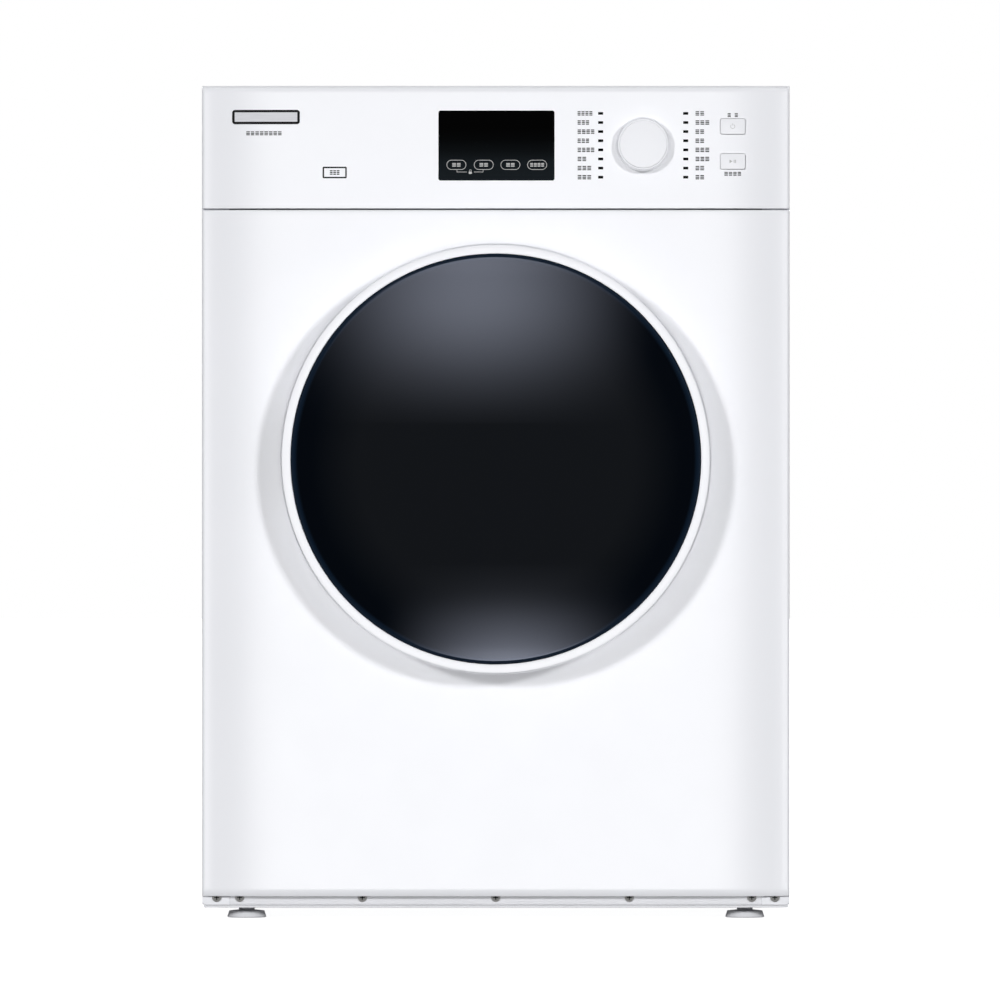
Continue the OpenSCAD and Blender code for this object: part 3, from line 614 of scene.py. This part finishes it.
def make_front_panel():
    """The pressed sheet under the fascia, with a flanged porthole and the latch's slot."""
    low, high = PANEL_LOW.z, PANEL_HIGH.z
    lower_roll, upper_roll, flange_start = 17 * MM, 1.6 * MM, 4 * MM
    bm = bmesh.new()
    rows = [(low, SKIRT, SKIRT)] + roll_rows(low, lower_roll, 1, SKIRT, 62)
    rows += flat_rows(low + 9.5 * MM, high - 4.2 * MM, 12, SKIRT)
    rows += roll_rows(high, upper_roll, -1, SKIRT)[::-1] + [(high, SKIRT, SKIRT)]
    front_skin(bm, rows)
    panel = new_piece("front_panel_skin", bm, ENAMEL, "cabinet", ["front_panel"])
    thicken(panel)

    def holes(bm):
        drill(bm, PORTHOLE_R + flange_start, 0, DOOR_Z, 192)
        punch(bm, 18 * MM, 28 * MM, 2 * MM, 187 * MM, DOOR_Z)

    cut(panel, holes)
    inner, outer, depth = PORTHOLE_R, PORTHOLE_R + SHEET, 11.8 * MM
    bm = bmesh.new()
    lathe(bm, fillet([
        (PORTHOLE_R + flange_start, 0), (inner, 0, 3.4 * MM), (inner, -depth),
        (outer, -depth), (outer, -SHEET, 2.2 * MM), (PORTHOLE_R + flange_start, -SHEET),
    ]), facing(0, DOOR_Z), 192)
    new_piece("porthole_flange", bm, ENAMEL, "cabinet")


def make_fascia():
    """The control fascia; from the worktop's level up, its ears reach back beside the worktop."""
    low, high = FASCIA_LOW.z, FASCIA_HIGH.z
    ear, ear_z = FASCIA_HIGH.y - FRONT_Y, TOP_LOW.z
    lower_roll, upper_roll = 0.9 * MM, 6 * MM
    bm = bmesh.new()
    rows = [(low, SKIRT, SKIRT)] + roll_rows(low, lower_roll, 1, SKIRT)
    rows += flat_rows(low + 3 * MM, ear_z, 5, SKIRT) + flat_rows(ear_z, high - 7.6 * MM, 1, ear)
    rows += roll_rows(high, upper_roll, -1, ear, steps=9)[::-1]
    rows += [(high, 10 * MM, ear), (high, ear, ear)]
    front_skin(bm, rows)
    fascia = new_piece("fascia_moulding", bm, FASCIA, "cabinet",
                       ["control_fascia"])
    thicken(fascia)

    def holes(bm):
        room = 0.4 * MM
        punch(bm, WINDOW_W + room, WINDOW_H + room, 2.2 * MM, WINDOW_X, WINDOW_Z)
        for name in ("power_button", "start_button"):
            x, z, w, h = button_face(name)
            room = 0.9 * MM
            punch(bm, w + room, h + room, 2.4 * MM, x, z)
        drill(bm, 4 * MM, KNOB_X, KNOB_Z, 48)

    cut(fascia, holes)


def button_face(name):
    """Centre and size of a push button's face, inside its retaining flange."""
    low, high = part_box(name)
    w, h = high.x - low.x - FLANGE_W, high.z - low.z - FLANGE_H
    return (low.x + high.x) / 2, (low.z + high.z) / 2, w, h


# ---- display, knob, buttons, print ----

def ring_bar(bm, w, h, r, line, low, high, place):
    """The outline of a rounded rectangle, drawn as a raised line."""
    rings = []
    for inset, height in ((0, low), (0, high), (line, high), (line, low)):
        outline = rounded_outline(w - 2 * inset, h - 2 * inset, r - inset, 8)
        rings.append([bm.verts.new(place @ Vector((x, y, height))) for x, y in outline])
    bridge(bm, rings + rings[:1])


def bar(bm, x, z, w, h, out, thick=0.08 * MM):
    """One printed bar on the front, standing out from the front plane."""
    slab(bm, w, h, min(w, h) * 0.3, [(0, out - PRINT_BACK), (0, out + thick)], facing(x, z), 3)


def marks(bm, x, z, width, height, count, out=0.0):
    """A row of ruled blocks where the machine has a word, so that nothing is lettered."""
    strokes = 3
    pitch = width / count
    line = height / (1.38 * strokes)
    for i in range(count):
        for k in range(strokes):
            at = z + (k - (strokes - 1) / 2) * (height - line) / (strokes - 1)
            bar(bm, x + (i + 0.5 - count / 2) * pitch, at, pitch * 0.80, line, out)


def make_display():
    """The dark window, with the outlines of its four keys and the sign of the child lock."""
    out = 0.2 * MM
    bm = bmesh.new()
    slab(bm, WINDOW_W, WINDOW_H, 2 * MM, rolled(-2.4 * MM, out, 0.5 * MM),
         facing(WINDOW_X, WINDOW_Z))
    new_piece("display_panel", bm, DISPLAY, "cabinet", ["display_window"])
    bm = bmesh.new()
    key_z = WINDOW_Z - 19.7 * MM
    # (place of a key from the middle, width of its word, number of blocks), in millimetres
    for dx, word, blocks in ((-40.9, 9.5, 2), (-13.0, 9.5, 2), (14.2, 9.5, 2), (41.5, 15, 4)):
        x = WINDOW_X + dx * MM
        ring_bar(bm, 20 * MM, 10 * MM, 5 * MM, 0.5 * MM, out, out + 0.12 * MM, facing(x, key_z))
        marks(bm, x, key_z, word * MM, 3.6 * MM, blocks, out)
    lock_x, lock_z = WINDOW_X - 26.7 * MM, WINDOW_Z - 27 * MM
    bar(bm, lock_x, lock_z - 0.8 * MM, 3.2 * MM, 2.4 * MM, out)
    ring_bar(bm, 2.2 * MM, 3.2 * MM, 1.1 * MM, 0.4 * MM, out, out + 0.1 * MM,
             facing(lock_x, lock_z + 0.9 * MM))
    line = 0.45 * MM
    for side, reach in ((-1, 14.2), (1, 13.7)):
        bar(bm, lock_x + side * (reach / 2 + 1.5) * MM, lock_z, (reach - 4) * MM, line, out)
        bar(bm, lock_x + side * (reach - 0.6) * MM, lock_z + 1.0 * MM, line, 2.2 * MM, out)
    new_piece("display_marks", bm, INK_PALE, "cabinet")


def make_knob():
    """A cap with a bevel round its face and a fine groove round the bevel."""
    r, top = KNOB_R, KNOB_STAND
    bm = bmesh.new()
    lathe(bm, fillet([
        (0, 1.0 * MM), (r - 1.0 * MM, 1.0 * MM, 0.5 * MM), (r, 2.0 * MM, 0.8 * MM),
        (r, top - 2.4 * MM, 0.4 * MM), (r - 0.8 * MM, top - 2.4 * MM, 0.2 * MM),
        (r - 0.8 * MM, top - 4.2 * MM), (r - 1.4 * MM, top - 4.2 * MM),
        (r - 1.4 * MM, top - 1.7 * MM, 0.2 * MM), (r - 2.8 * MM, top - 1.7 * MM, 0.2 * MM),
        (r - 3.6 * MM, top - 0.75 * MM, 0.3 * MM), (0, top - 0.75 * MM),
    ]), facing(KNOB_X, KNOB_Z), 128, closed=False)
    lathe(bm, fillet([
        (0, -12 * MM), (3 * MM, -12 * MM, 0.6 * MM), (3 * MM, 1.2 * MM), (0, 1.2 * MM),
    ]), facing(KNOB_X, KNOB_Z), 32, closed=False)
    new_piece("knob_cap", bm, CONTROL_WHITE, "knob", ["selector_knob"])


def make_button(name, body, icon):
    """A push button: its cap, retaining flange and plunger, and the sign on its face."""
    x, z, w, h = button_face(name)
    out = 0.9 * MM
    bm = bmesh.new()
    place = facing(x, z)
    foot = [(0.3 * MM, -4.4 * MM), (0, -4 * MM)]
    slab(bm, w, h, 1.9 * MM, foot + rolled(0, out, 0.6 * MM)[1:], place)
    slab(bm, w + FLANGE_W, h + FLANGE_H, 2 * MM, [(0, -5.2 * MM), (0, -4.0 * MM)], place)
    lathe(bm, [(0, -9 * MM), (3 * MM, -9 * MM), (3 * MM, -5 * MM), (0, -5 * MM)], place, 32,
          closed=False)
    new_piece(name + "_cap", bm, CONTROL_WHITE, body, [name])
    bm = bmesh.new()
    icon(bm, x, z, out)
    new_piece(name + "_icon", bm, INK_SOFT, body)


def power_icon(bm, x, z, out):
    """A broken ring with a bar through the break."""
    inner, outer = 1.9 * MM, 2.4 * MM
    angles = [math.radians(125 + 290 * k / 28) for k in range(29)]
    place = facing(x, z)
    low, high = out - PRINT_BACK, out + ICON_THICK
    section = [(inner, low), (outer, low), (outer, high), (inner, high)]
    rings = [
        [bm.verts.new(place @ Vector((r * math.cos(a), r * math.sin(a), h))) for r, h in section]
        for a in angles
    ]
    bridge(bm, rings)
    bm.faces.new(rings[0])
    bm.faces.new(rings[-1])
    bar(bm, x, z + inner, 0.55 * MM, 2.2 * MM, out, ICON_THICK)


def start_icon(bm, x, z, out):
    """A triangle beside two bars."""
    place = facing(x - 1.7 * MM, z)
    corners = [(-1.6 * MM, -1.8 * MM), (1.5 * MM, 0), (-1.6 * MM, 1.8 * MM)]
    rings = [[bm.verts.new(place @ Vector((a, b, h))) for a, b in corners]
             for h in (out - PRINT_BACK, out + ICON_THICK)]
    bridge(bm, rings)
    bm.faces.new(rings[0])
    bm.faces.new(rings[1])
    for dx in (1.4, 2.9):
        bar(bm, x + dx * MM, z, 0.7 * MM, 3.4 * MM, out, ICON_THICK)


def lens_place(side, row):
    """Centre of an indicator dash: two columns beside the knob."""
    return LENS_X + side * LENS_DX, LENS_TOP_Z - row * LENS_PITCH


def make_lenses():
    """The indicator dashes, a shade larger than the lenses of the CAD."""
    w, h, r = 5.2 * MM, 2.75 * MM, 0.3 * MM
    levels = rolled(-1.6 * MM, 0.08 * MM, 0.1 * MM, 2)
    bm = bmesh.new()
    for side in (-1, 1):
        for row in range(LENS_ROWS):
            slab(bm, w, h, r, levels, facing(*lens_place(side, row)), 3)
    new_piece("indicator_dashes", bm, LENS, "cabinet", ["indicator_lenses"])


def make_print():
    """Ruled blocks where the machine has programme names and the names of its keys."""
    bm = bmesh.new()
    # Words of each column as (width in millimetres, number of blocks), and where they start.
    left = ((16, 4), (12.6, 3), (18, 4), (12.6, 3), (18, 4), (9.7, 2), (14.8, 3), (14.8, 3))
    right = ((9.7, 2), (15, 3), (9.7, 2), (9.7, 2), (15, 3), (15, 3), (9.7, 2), (9.7, 2))
    for words, start in ((left, 83), (right, 203.3)):
        for row, (width, blocks) in enumerate(words):
            x, z = (start + width / 2) * MM, LENS_TOP_Z - row * LENS_PITCH
            marks(bm, x, z, width * MM, 4.4 * MM, blocks)
    key_x, power_z, _, key_h = button_face("power_button")
    start_z = button_face("start_button")[1]
    above, below = power_z + key_h / 2 + 3.6 * MM, start_z - key_h / 2 - 4.6 * MM
    for side in (-1, 1):
        marks(bm, key_x + side * 3.6 * MM, above, 4.2 * MM, 3.8 * MM, 1)
    marks(bm, key_x, below, 18 * MM, 3.8 * MM, 4)
    marks(bm, -236.6 * MM, 801.5 * MM, 37 * MM, 4 * MM, 8)
    drape(bm)
    new_piece("legend_blocks", bm, INK, "cabinet")


def make_badges():
    """A blank nameplate with a black border, and a framed badge with blocks, for the marks."""
    plate_w, plate_h, plate_r = 69 * MM, 14.6 * MM, 3 * MM
    plate_place = facing(-234.5 * MM, 818.1 * MM)
    badge_x, badge_z = -164.4 * MM, 761.5 * MM
    bm = bmesh.new()
    slab(bm, plate_w, plate_h, plate_r, rolled(-0.6 * MM, 0.4 * MM, 0.3 * MM), plate_place)
    drape(bm)
    plate = brushed("nameplate_metal", 0.88, 0.40, COOL, (0.03, 1, 1), 0.1)
    new_piece("blank_nameplate", bm, plate, "cabinet")
    bm = bmesh.new()
    ring_bar(bm, plate_w, plate_h, plate_r, 2.5 * MM, 0.3 * MM, 0.52 * MM, plate_place)
    ring_bar(bm, 24.6 * MM, 11.8 * MM, 1.2 * MM, 1.5 * MM, -PRINT_BACK, 0.08 * MM,
             facing(badge_x, badge_z))
    marks(bm, badge_x, badge_z, 10.5 * MM, 4.6 * MM, 3)
    drape(bm)
    new_piece("plate_border", bm, INK, "cabinet")


# ---- door ----

def make_ring():
    """The door's moulding: a flat face round the glass, with a fine groove near its rim."""
    rim, inner, front = RING_R + 0.8 * MM, GLASS_R + 0.1 * MM, 42 * MM
    bm = bmesh.new()
    lathe(bm, fillet([
        (200.2 * MM, 1.5 * MM, 0.4 * MM), (203.2 * MM, 1.5 * MM, 0.8 * MM),
        (rim, 36.6 * MM, 4 * MM), (rim, front - 1.4 * MM, 0.1 * MM),
        (rim - 0.3 * MM, front - 1.4 * MM, 0.1 * MM), (rim - 0.3 * MM, front - 4.4 * MM),
        (rim - 1.5 * MM, front - 4.4 * MM), (rim - 1.5 * MM, front, 0.4 * MM),
        (inner, front, 0.15 * MM),
        (inner, 36.2 * MM), (203 * MM, 36.2 * MM), (203 * MM, 33.6 * MM), (213.2 * MM, 33.6 * MM),
    ], 6), facing(0, DOOR_Z), 256)
    ring = new_piece("door_ring_moulding", bm, DOOR_WHITE, "door", ["door_ring"])
    pin_low, pin_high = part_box("hinge_pin")
    pin_x = (pin_low.x + pin_high.x) / 2
    pin_out = FRONT_Y - (pin_low.y + pin_high.y) / 2

    def notch(bm):
        """Room for the fixed arms of the hinge, below the front of the ring."""
        place = Matrix.Translation((0, FRONT_Y, DOOR_Z)) @ Matrix.Diagonal((1, -1, 1, 1))
        reach, top = 35 * MM, 36.3 * MM
        half_height = 42 * MM
        start = math.asin((top - pin_out) / reach)
        arc = [start - (math.pi + 2 * start) * k / 40 for k in range(41)]
        outline = [(pin_x + reach * math.cos(a), pin_out + reach * math.sin(a)) for a in arc]
        rings = [[bm.verts.new(place @ Vector((x, y, z))) for x, y in outline]
                 for z in (-half_height, half_height)]
        bridge(bm, rings)
        bm.faces.new(rings[0])
        bm.faces.new(rings[1])

    cut(ring, notch)


def make_glass():
    """The dome: a shallow spherical cap; its printed rim, painted lighter as painted reflection,
    ends in a fine ground edge.
    """
    edge_out, wall, gap = 40.8 * MM, 4 * MM, 0.2 * MM
    rise = DOME_STAND - edge_out
    radius = (GLASS_R ** 2 + rise ** 2) / (2 * rise)
    edge = GLASS_R - gap

    def dome(r, sphere):
        return DOME_STAND - radius + math.sqrt(sphere ** 2 - r ** 2)

    outer = [(r, dome(r, radius)) for r in ((edge - 0.8 * MM) * k / 60 for k in range(61))]
    outer += [(edge - 0.35 * MM, dome(edge, radius) - 0.12 * MM),
              (edge - 0.08 * MM, dome(edge, radius) - 0.4 * MM),
              (edge, dome(edge, radius) - 0.9 * MM)]
    inner = [(r, dome(r, radius - wall)) for r in (edge * k / 24 for k in range(24, -1, -1))]
    bm = bmesh.new()
    lathe(bm, outer + inner, facing(0, DOOR_Z), 256, closed=False)
    return new_piece("door_dome_glass", bm, GLASS, "door", ["door_glass"], 50)


# ---- worktop and plinth ----

def make_worktop():
    """A laminated board with rounded edges, a groove near its rim and a hollow under it."""
    bm = bmesh.new()
    low, high = TOP_LOW, TOP_HIGH
    thick = high.z - low.z
    place = Matrix.Translation(((low.x + high.x) / 2, (low.y + high.y) / 2, low.z))
    start, end = 13.5 * MM, 14.5 * MM
    levels = [
        (10 * MM, 6 * MM), (10 * MM, 0), (0.6 * MM, 0), (0.15 * MM, 0.2 * MM), (0, 0.7 * MM),
        (0, thick - 2.2 * MM), (0.3 * MM, thick - 1.1 * MM), (1.1 * MM, thick - 0.3 * MM),
        (2.2 * MM, thick),
        (start - 0.3 * MM, thick), (start, thick - 0.2 * MM), (start, thick - 1 * MM),
        (end, thick - 1 * MM), (end, thick - 0.2 * MM), (end + 0.3 * MM, thick),
    ]
    slab(bm, high.x - low.x, high.y - low.y, 5 * MM, levels, place, 8)
    new_piece("worktop_board", bm, LAMINATE, "cabinet", ["worktop"])


def make_plinth_hem():
    """The folded lower edge of the plinth, which runs on under the corner tabs."""
    bm = bmesh.new()
    height, width = 2.4 * MM, 2 * (HALF_W - CORNER_R)
    place = facing(0, STRIP_LOW.z + height / 2, FRONT_Y - STRIP_LOW.y)
    slab(bm, width, height, 0.8 * MM, rolled(-0.6 * MM, 0.9 * MM, 0.7 * MM), place)
    new_piece("plinth_hem", bm, PLINTH, "cabinet")


def make_screw_recess_shade():
    """Painted shade: dark inserts at the floors of the cross recesses in the plinth's screws."""
    in_heads = [v.co for v in NODES["case_screws"].data.vertices if v.co.y < STRIP_LOW.y]
    head_w, recess_depth = 12 * MM, 1.15 * MM
    heads = []
    for co in sorted(in_heads, key=lambda co: co.x):
        if not heads or co.x - heads[-1][0].x > head_w:
            heads.append([])
        heads[-1].append(co)
    long, short = 5.2 * MM, MM
    bm = bmesh.new()
    for head in heads:
        x = (head[0].x + head[-1].x) / 2
        z = (min(co.z for co in head) + max(co.z for co in head)) / 2
        floor_out = FRONT_Y - min(co.y for co in head) - recess_depth
        levels = [(0, floor_out - 0.2 * MM), (0, floor_out)]
        for w, h in ((long, short), (short, long)):
            slab(bm, w, h, 0.1 * MM, levels, facing(x, z), 2)
    # The dark inserts are painted shade in the screws' recesses.
    new_piece("screw_recesses", bm, INK, "cabinet")


# ---- stage ----

def out_of_scene(azimuth, elevation):
    """Direction to a light; azimuth 0 is in front of the door, 90 to its right."""
    a, e = math.radians(azimuth), math.radians(elevation)
    return Vector((math.sin(a) * math.cos(e), -math.cos(a) * math.cos(e), math.sin(e)))


def lights_only(light, name, pieces):
    """Links a light to some pieces, as a studio flag would."""
    light.light_linking.receiver_collection = bpy.data.collections.new(name)
    for piece in pieces:
        light.light_linking.receiver_collection.objects.link(piece)


def sun(name, azimuth, elevation, strength, angle=0.14):
    """A distant light; its angle is its width in the sky, in radians."""
    data = bpy.data.lights.new(name, "SUN")
    data.energy = strength
    data.angle = angle
    lamp = add_object(name, data)
    lamp.rotation_euler = out_of_scene(azimuth, elevation).to_track_quat("Z", "Y").to_euler()
    return lamp


def card_mesh(name, azimuths, elevations):
    """Part of a sphere round the middle of the door; its UV map runs from 0 to 1 each way."""
    columns, rows, distance = 24, 16, 20.0
    centre = Vector((0, FRONT_Y, DOOR_Z))
    low, high = elevations
    bm = bmesh.new()
    grid = [
        [bm.verts.new(centre + distance * out_of_scene(
            azimuths[0] + (azimuths[1] - azimuths[0]) * i / columns, low + (high - low) * j / rows))
         for i in range(columns + 1)]
        for j in range(rows + 1)
    ]
    bridge(bm, grid, closed=False)
    span = bm.loops.layers.uv.new("span")
    index = {v: (i / columns, j / rows) for j, line in enumerate(grid) for i, v in enumerate(line)}
    for face in bm.faces:
        for loop in face.loops:
            loop[span].uv = index[loop.vert]
    return add_mesh(name, bm)


def card_material(name, fades, peak):
    """Clear to look through, with a glow added that fades across and up the card."""
    material = bpy.data.materials.new(name)
    material.use_nodes = True
    nodes, links = material.node_tree.nodes, material.node_tree.links
    nodes.clear()
    across = nodes.new("ShaderNodeSeparateXYZ")
    links.new(nodes.new("ShaderNodeUVMap").outputs[0], across.inputs[0])
    power = None
    for axis, interpolation, stops in fades:
        ramp = nodes.new("ShaderNodeValToRGB")
        ramp.color_ramp.interpolation = interpolation
        set_stops(ramp, [(position, grey(value)) for position, value in stops])
        links.new(across.outputs[axis], ramp.inputs["Fac"])
        product = nodes.new("ShaderNodeMath")
        product.operation = "MULTIPLY"
        product.inputs[1].default_value = peak
        links.new(ramp.outputs["Color"], product.inputs[0])
        if power:
            links.new(power, product.inputs[1])
        power = product.outputs[0]
    light = nodes.new("ShaderNodeEmission")
    light.inputs["Color"].default_value = (*CARD_TINT, 1)
    links.new(power, light.inputs["Strength"])
    seen = nodes.new("ShaderNodeAddShader")
    links.new(light.outputs[0], seen.inputs[0])
    links.new(nodes.new("ShaderNodeBsdfTransparent").outputs[0], seen.inputs[1])
    links.new(seen.outputs[0], nodes.new("ShaderNodeOutputMaterial").inputs["Surface"])
    return material


def card(name, azimuths, glow, peak, mirrored_by):
    """A curved softbox that only the gloss of some pieces shows."""
    low, high = glow[0][0], glow[-1][0]
    mesh = card_mesh(name, azimuths, (low, high))
    fades = (
        ("X", "EASE", [(0.0, 0.0), (0.5, 1.0), (1.0, 0.0)]),
        ("Y", "B_SPLINE", [((e - low) / (high - low), part) for e, part in glow]),
    )
    mesh.materials.append(card_material(name, fades, peak))
    softbox = add_object(name, mesh)
    softbox.visible_camera = softbox.visible_diffuse = softbox.visible_shadow = False
    softbox.visible_transmission = False
    lights_only(softbox, name + "_receivers", mirrored_by)


def make_world():
    """White to the camera and a soft sky for the rest, with a darker ring for gloss."""
    world = bpy.data.worlds.new("studio")
    bpy.context.scene.world = world
    world.use_nodes = True
    nodes, links = world.node_tree.nodes, world.node_tree.links
    nodes.clear()
    path = nodes.new("ShaderNodeLightPath")

    def glow(strength, tint=(1, 1, 1)):
        node = nodes.new("ShaderNodeBackground")
        node.inputs["Strength"].default_value = strength
        node.inputs["Color"].default_value = (*tint, 1)
        return node

    off_axis = nodes.new("ShaderNodeVectorMath")
    off_axis.operation = "MULTIPLY"
    off_axis.inputs[1].default_value = (1, 0, 1)
    links.new(nodes.new("ShaderNodeTexCoord").outputs["Generated"], off_axis.inputs[0])
    sine = nodes.new("ShaderNodeVectorMath")
    sine.operation = "LENGTH"
    links.new(off_axis.outputs[0], sine.inputs[0])
    ring = nodes.new("ShaderNodeValToRGB")
    set_stops(ring, [(position, grey(value)) for position, value in DARK_RING])
    links.new(sine.outputs["Value"], ring.inputs["Fac"])
    gloss = glow(SKY_IN_GLOSS)
    links.new(ring.outputs["Color"], gloss.inputs["Color"])

    shade = glow(SKY, SKY_TINT).outputs[0]
    for ray, light in (("Is Glossy Ray", gloss), ("Is Camera Ray", glow(1.0))):
        mix = nodes.new("ShaderNodeMixShader")
        links.new(path.outputs[ray], mix.inputs[0])
        links.new(shade, mix.inputs[1])
        links.new(light.outputs[0], mix.inputs[2])
        shade = mix.outputs[0]
    links.new(shade, nodes.new("ShaderNodeOutputWorld").inputs["Surface"])


def make_floor():
    """A pale floor that glows, so that it looks as white as the world from above."""
    bm = bmesh.new()
    bmesh.ops.create_grid(bm, x_segments=2, y_segments=2, size=30)
    mesh = add_mesh("floor", bm)
    floor = add_object("floor", mesh)
    f = Finish("floor_white", Roughness=0.9, Emission_Strength=FLOOR_WHITE)
    f.shader.inputs["Emission Color"].default_value = (1, 1, 1, 1)
    f.colours(f.noise(0.7, 2), (0.3, (0.90, 0.90, 0.90)), (0.7, (0.92, 0.92, 0.92)))
    mesh.materials.append(f.material)
    floor.visible_glossy = floor.visible_diffuse = floor.visible_shadow = False


def make_suns():
    """Two keys and two rear lights, and low lights that stand for what the floor sends back."""
    for side, hand in ((-1, "left"), (1, "right")):
        sun("key_" + hand, side * 31, 15, KEY).visible_glossy = False
        sun("rear_" + hand, side * 135, 28, REAR, 0.3)
    sun("floor_glow", 0, -9, FLOOR_GLOW, 0.16).visible_glossy = False
    sheen = sun("front_sheen", 0, -2, FRONT_GLOSS, 0.20)
    sheen.visible_diffuse = False
    white_front = ("front_panel_skin", "fascia_moulding", "door_ring_moulding", "knob_cap",
                   "power_button_cap", "start_button_cap")
    lights_only(sheen, "white_front", [bpy.data.objects[name] for name in white_front])
    bounce = sun("floor_bounce", 0, -18, FLOOR_BOUNCE, 0.6)
    lights_only(bounce, "plinth", [NODES["plinth_strip"], bpy.data.objects["plinth_hem"]])


def make_camera():
    """Straight on, from far away, with the frame's height about that of the machine."""
    distance = 12.0
    frame_height = 1.0204
    data = bpy.data.cameras.new("camera")
    data.sensor_width = 36
    data.lens = data.sensor_width * distance / frame_height
    data.clip_end = 60
    camera = add_object("camera", data)
    camera.location = (4.3 * MM, FRONT_Y - distance, 427.3 * MM)
    camera.rotation_euler = (math.pi / 2, 0, 0)
    bpy.context.scene.camera = camera


# ---- finishes of the CAD nodes that stay ----

def finish_cad_nodes():
    """Gives each CAD node the finish of its slot in the record."""
    finishes = {
        "enamel": ENAMEL, "white_laminate": LAMINATE, "galvanised": ZINC,
        "plinth_paint": PLINTH, "fascia_plastic": FASCIA, "door_plastic": DOOR_WHITE,
        "black_glass": GLASS, "display_glass": DISPLAY, "lens_dark": LENS,
        "clear_glass": clear_glass("bowl_glass"),
        "lamp_lens": moulded("lamp_lens_frosted", 0.80, 0.30, (1, 1, 0.95)),
        "drum_steel": brushed("drum_steel", 0.80, 0.36, COOL, (1, 0.03, 1), 0.4),
        "bright_steel": SCREW_STEEL, "light_plastic": LIGHT_PLASTIC, "dark_plastic": DARK_PLASTIC,
        "filter_plastic": moulded("filter_blue", 0.42, 0.42, (0.62, 0.80, 1.0)),
        "filter_mesh": felt("filter_weave", 0.62), "felt": felt("wool_felt", 0.13),
        "seal_rubber": rubber("seal_rubber", 0.035),
        "roller_rubber": rubber("roller_rubber", 0.012),
        "motor_paint": painted("motor_paint", 0.085, 0.4, (1, 1, 1), 0.02 * MM, 0.1),
        "circuit": moulded("solder_mask", 0.22, 0.3, (0.12, 1, 0.38)),
        "heater_wire": brushed("heat_tinted", 0.5, 0.4, (1, 0.66, 0.42)),
        "bronze": brushed("sintered_bronze", 0.5, 0.45, (1, 0.72, 0.4)),
    }
    for row in frame["record"]["subparts"]:
        node = NODES[row["node"]]
        node.data.materials.clear()
        node.data.materials.append(finishes[row["material_slot"]])


finish_cad_nodes()
make_front_panel()
make_fascia()
make_display()
make_knob()
make_button("power_button", "power_key", power_icon)
make_button("start_button", "start_key", start_icon)
make_lenses()
make_print()
make_badges()
make_ring()
dome = make_glass()
make_worktop()
make_plinth_hem()
# Painted shade in the cross recesses of the plinth's screws.
make_screw_recess_shade()

make_camera()
make_world()
make_floor()
make_suns()
card("high_card", (-25.5, 20.0), HIGH_GLOW, HIGH_PEAK, [dome])
card("low_card", (-15, 19), LOW_GLOW, LOW_PEAK, [dome])

view = bpy.context.scene.view_settings
view.view_transform = "Standard"
view.look = "None"
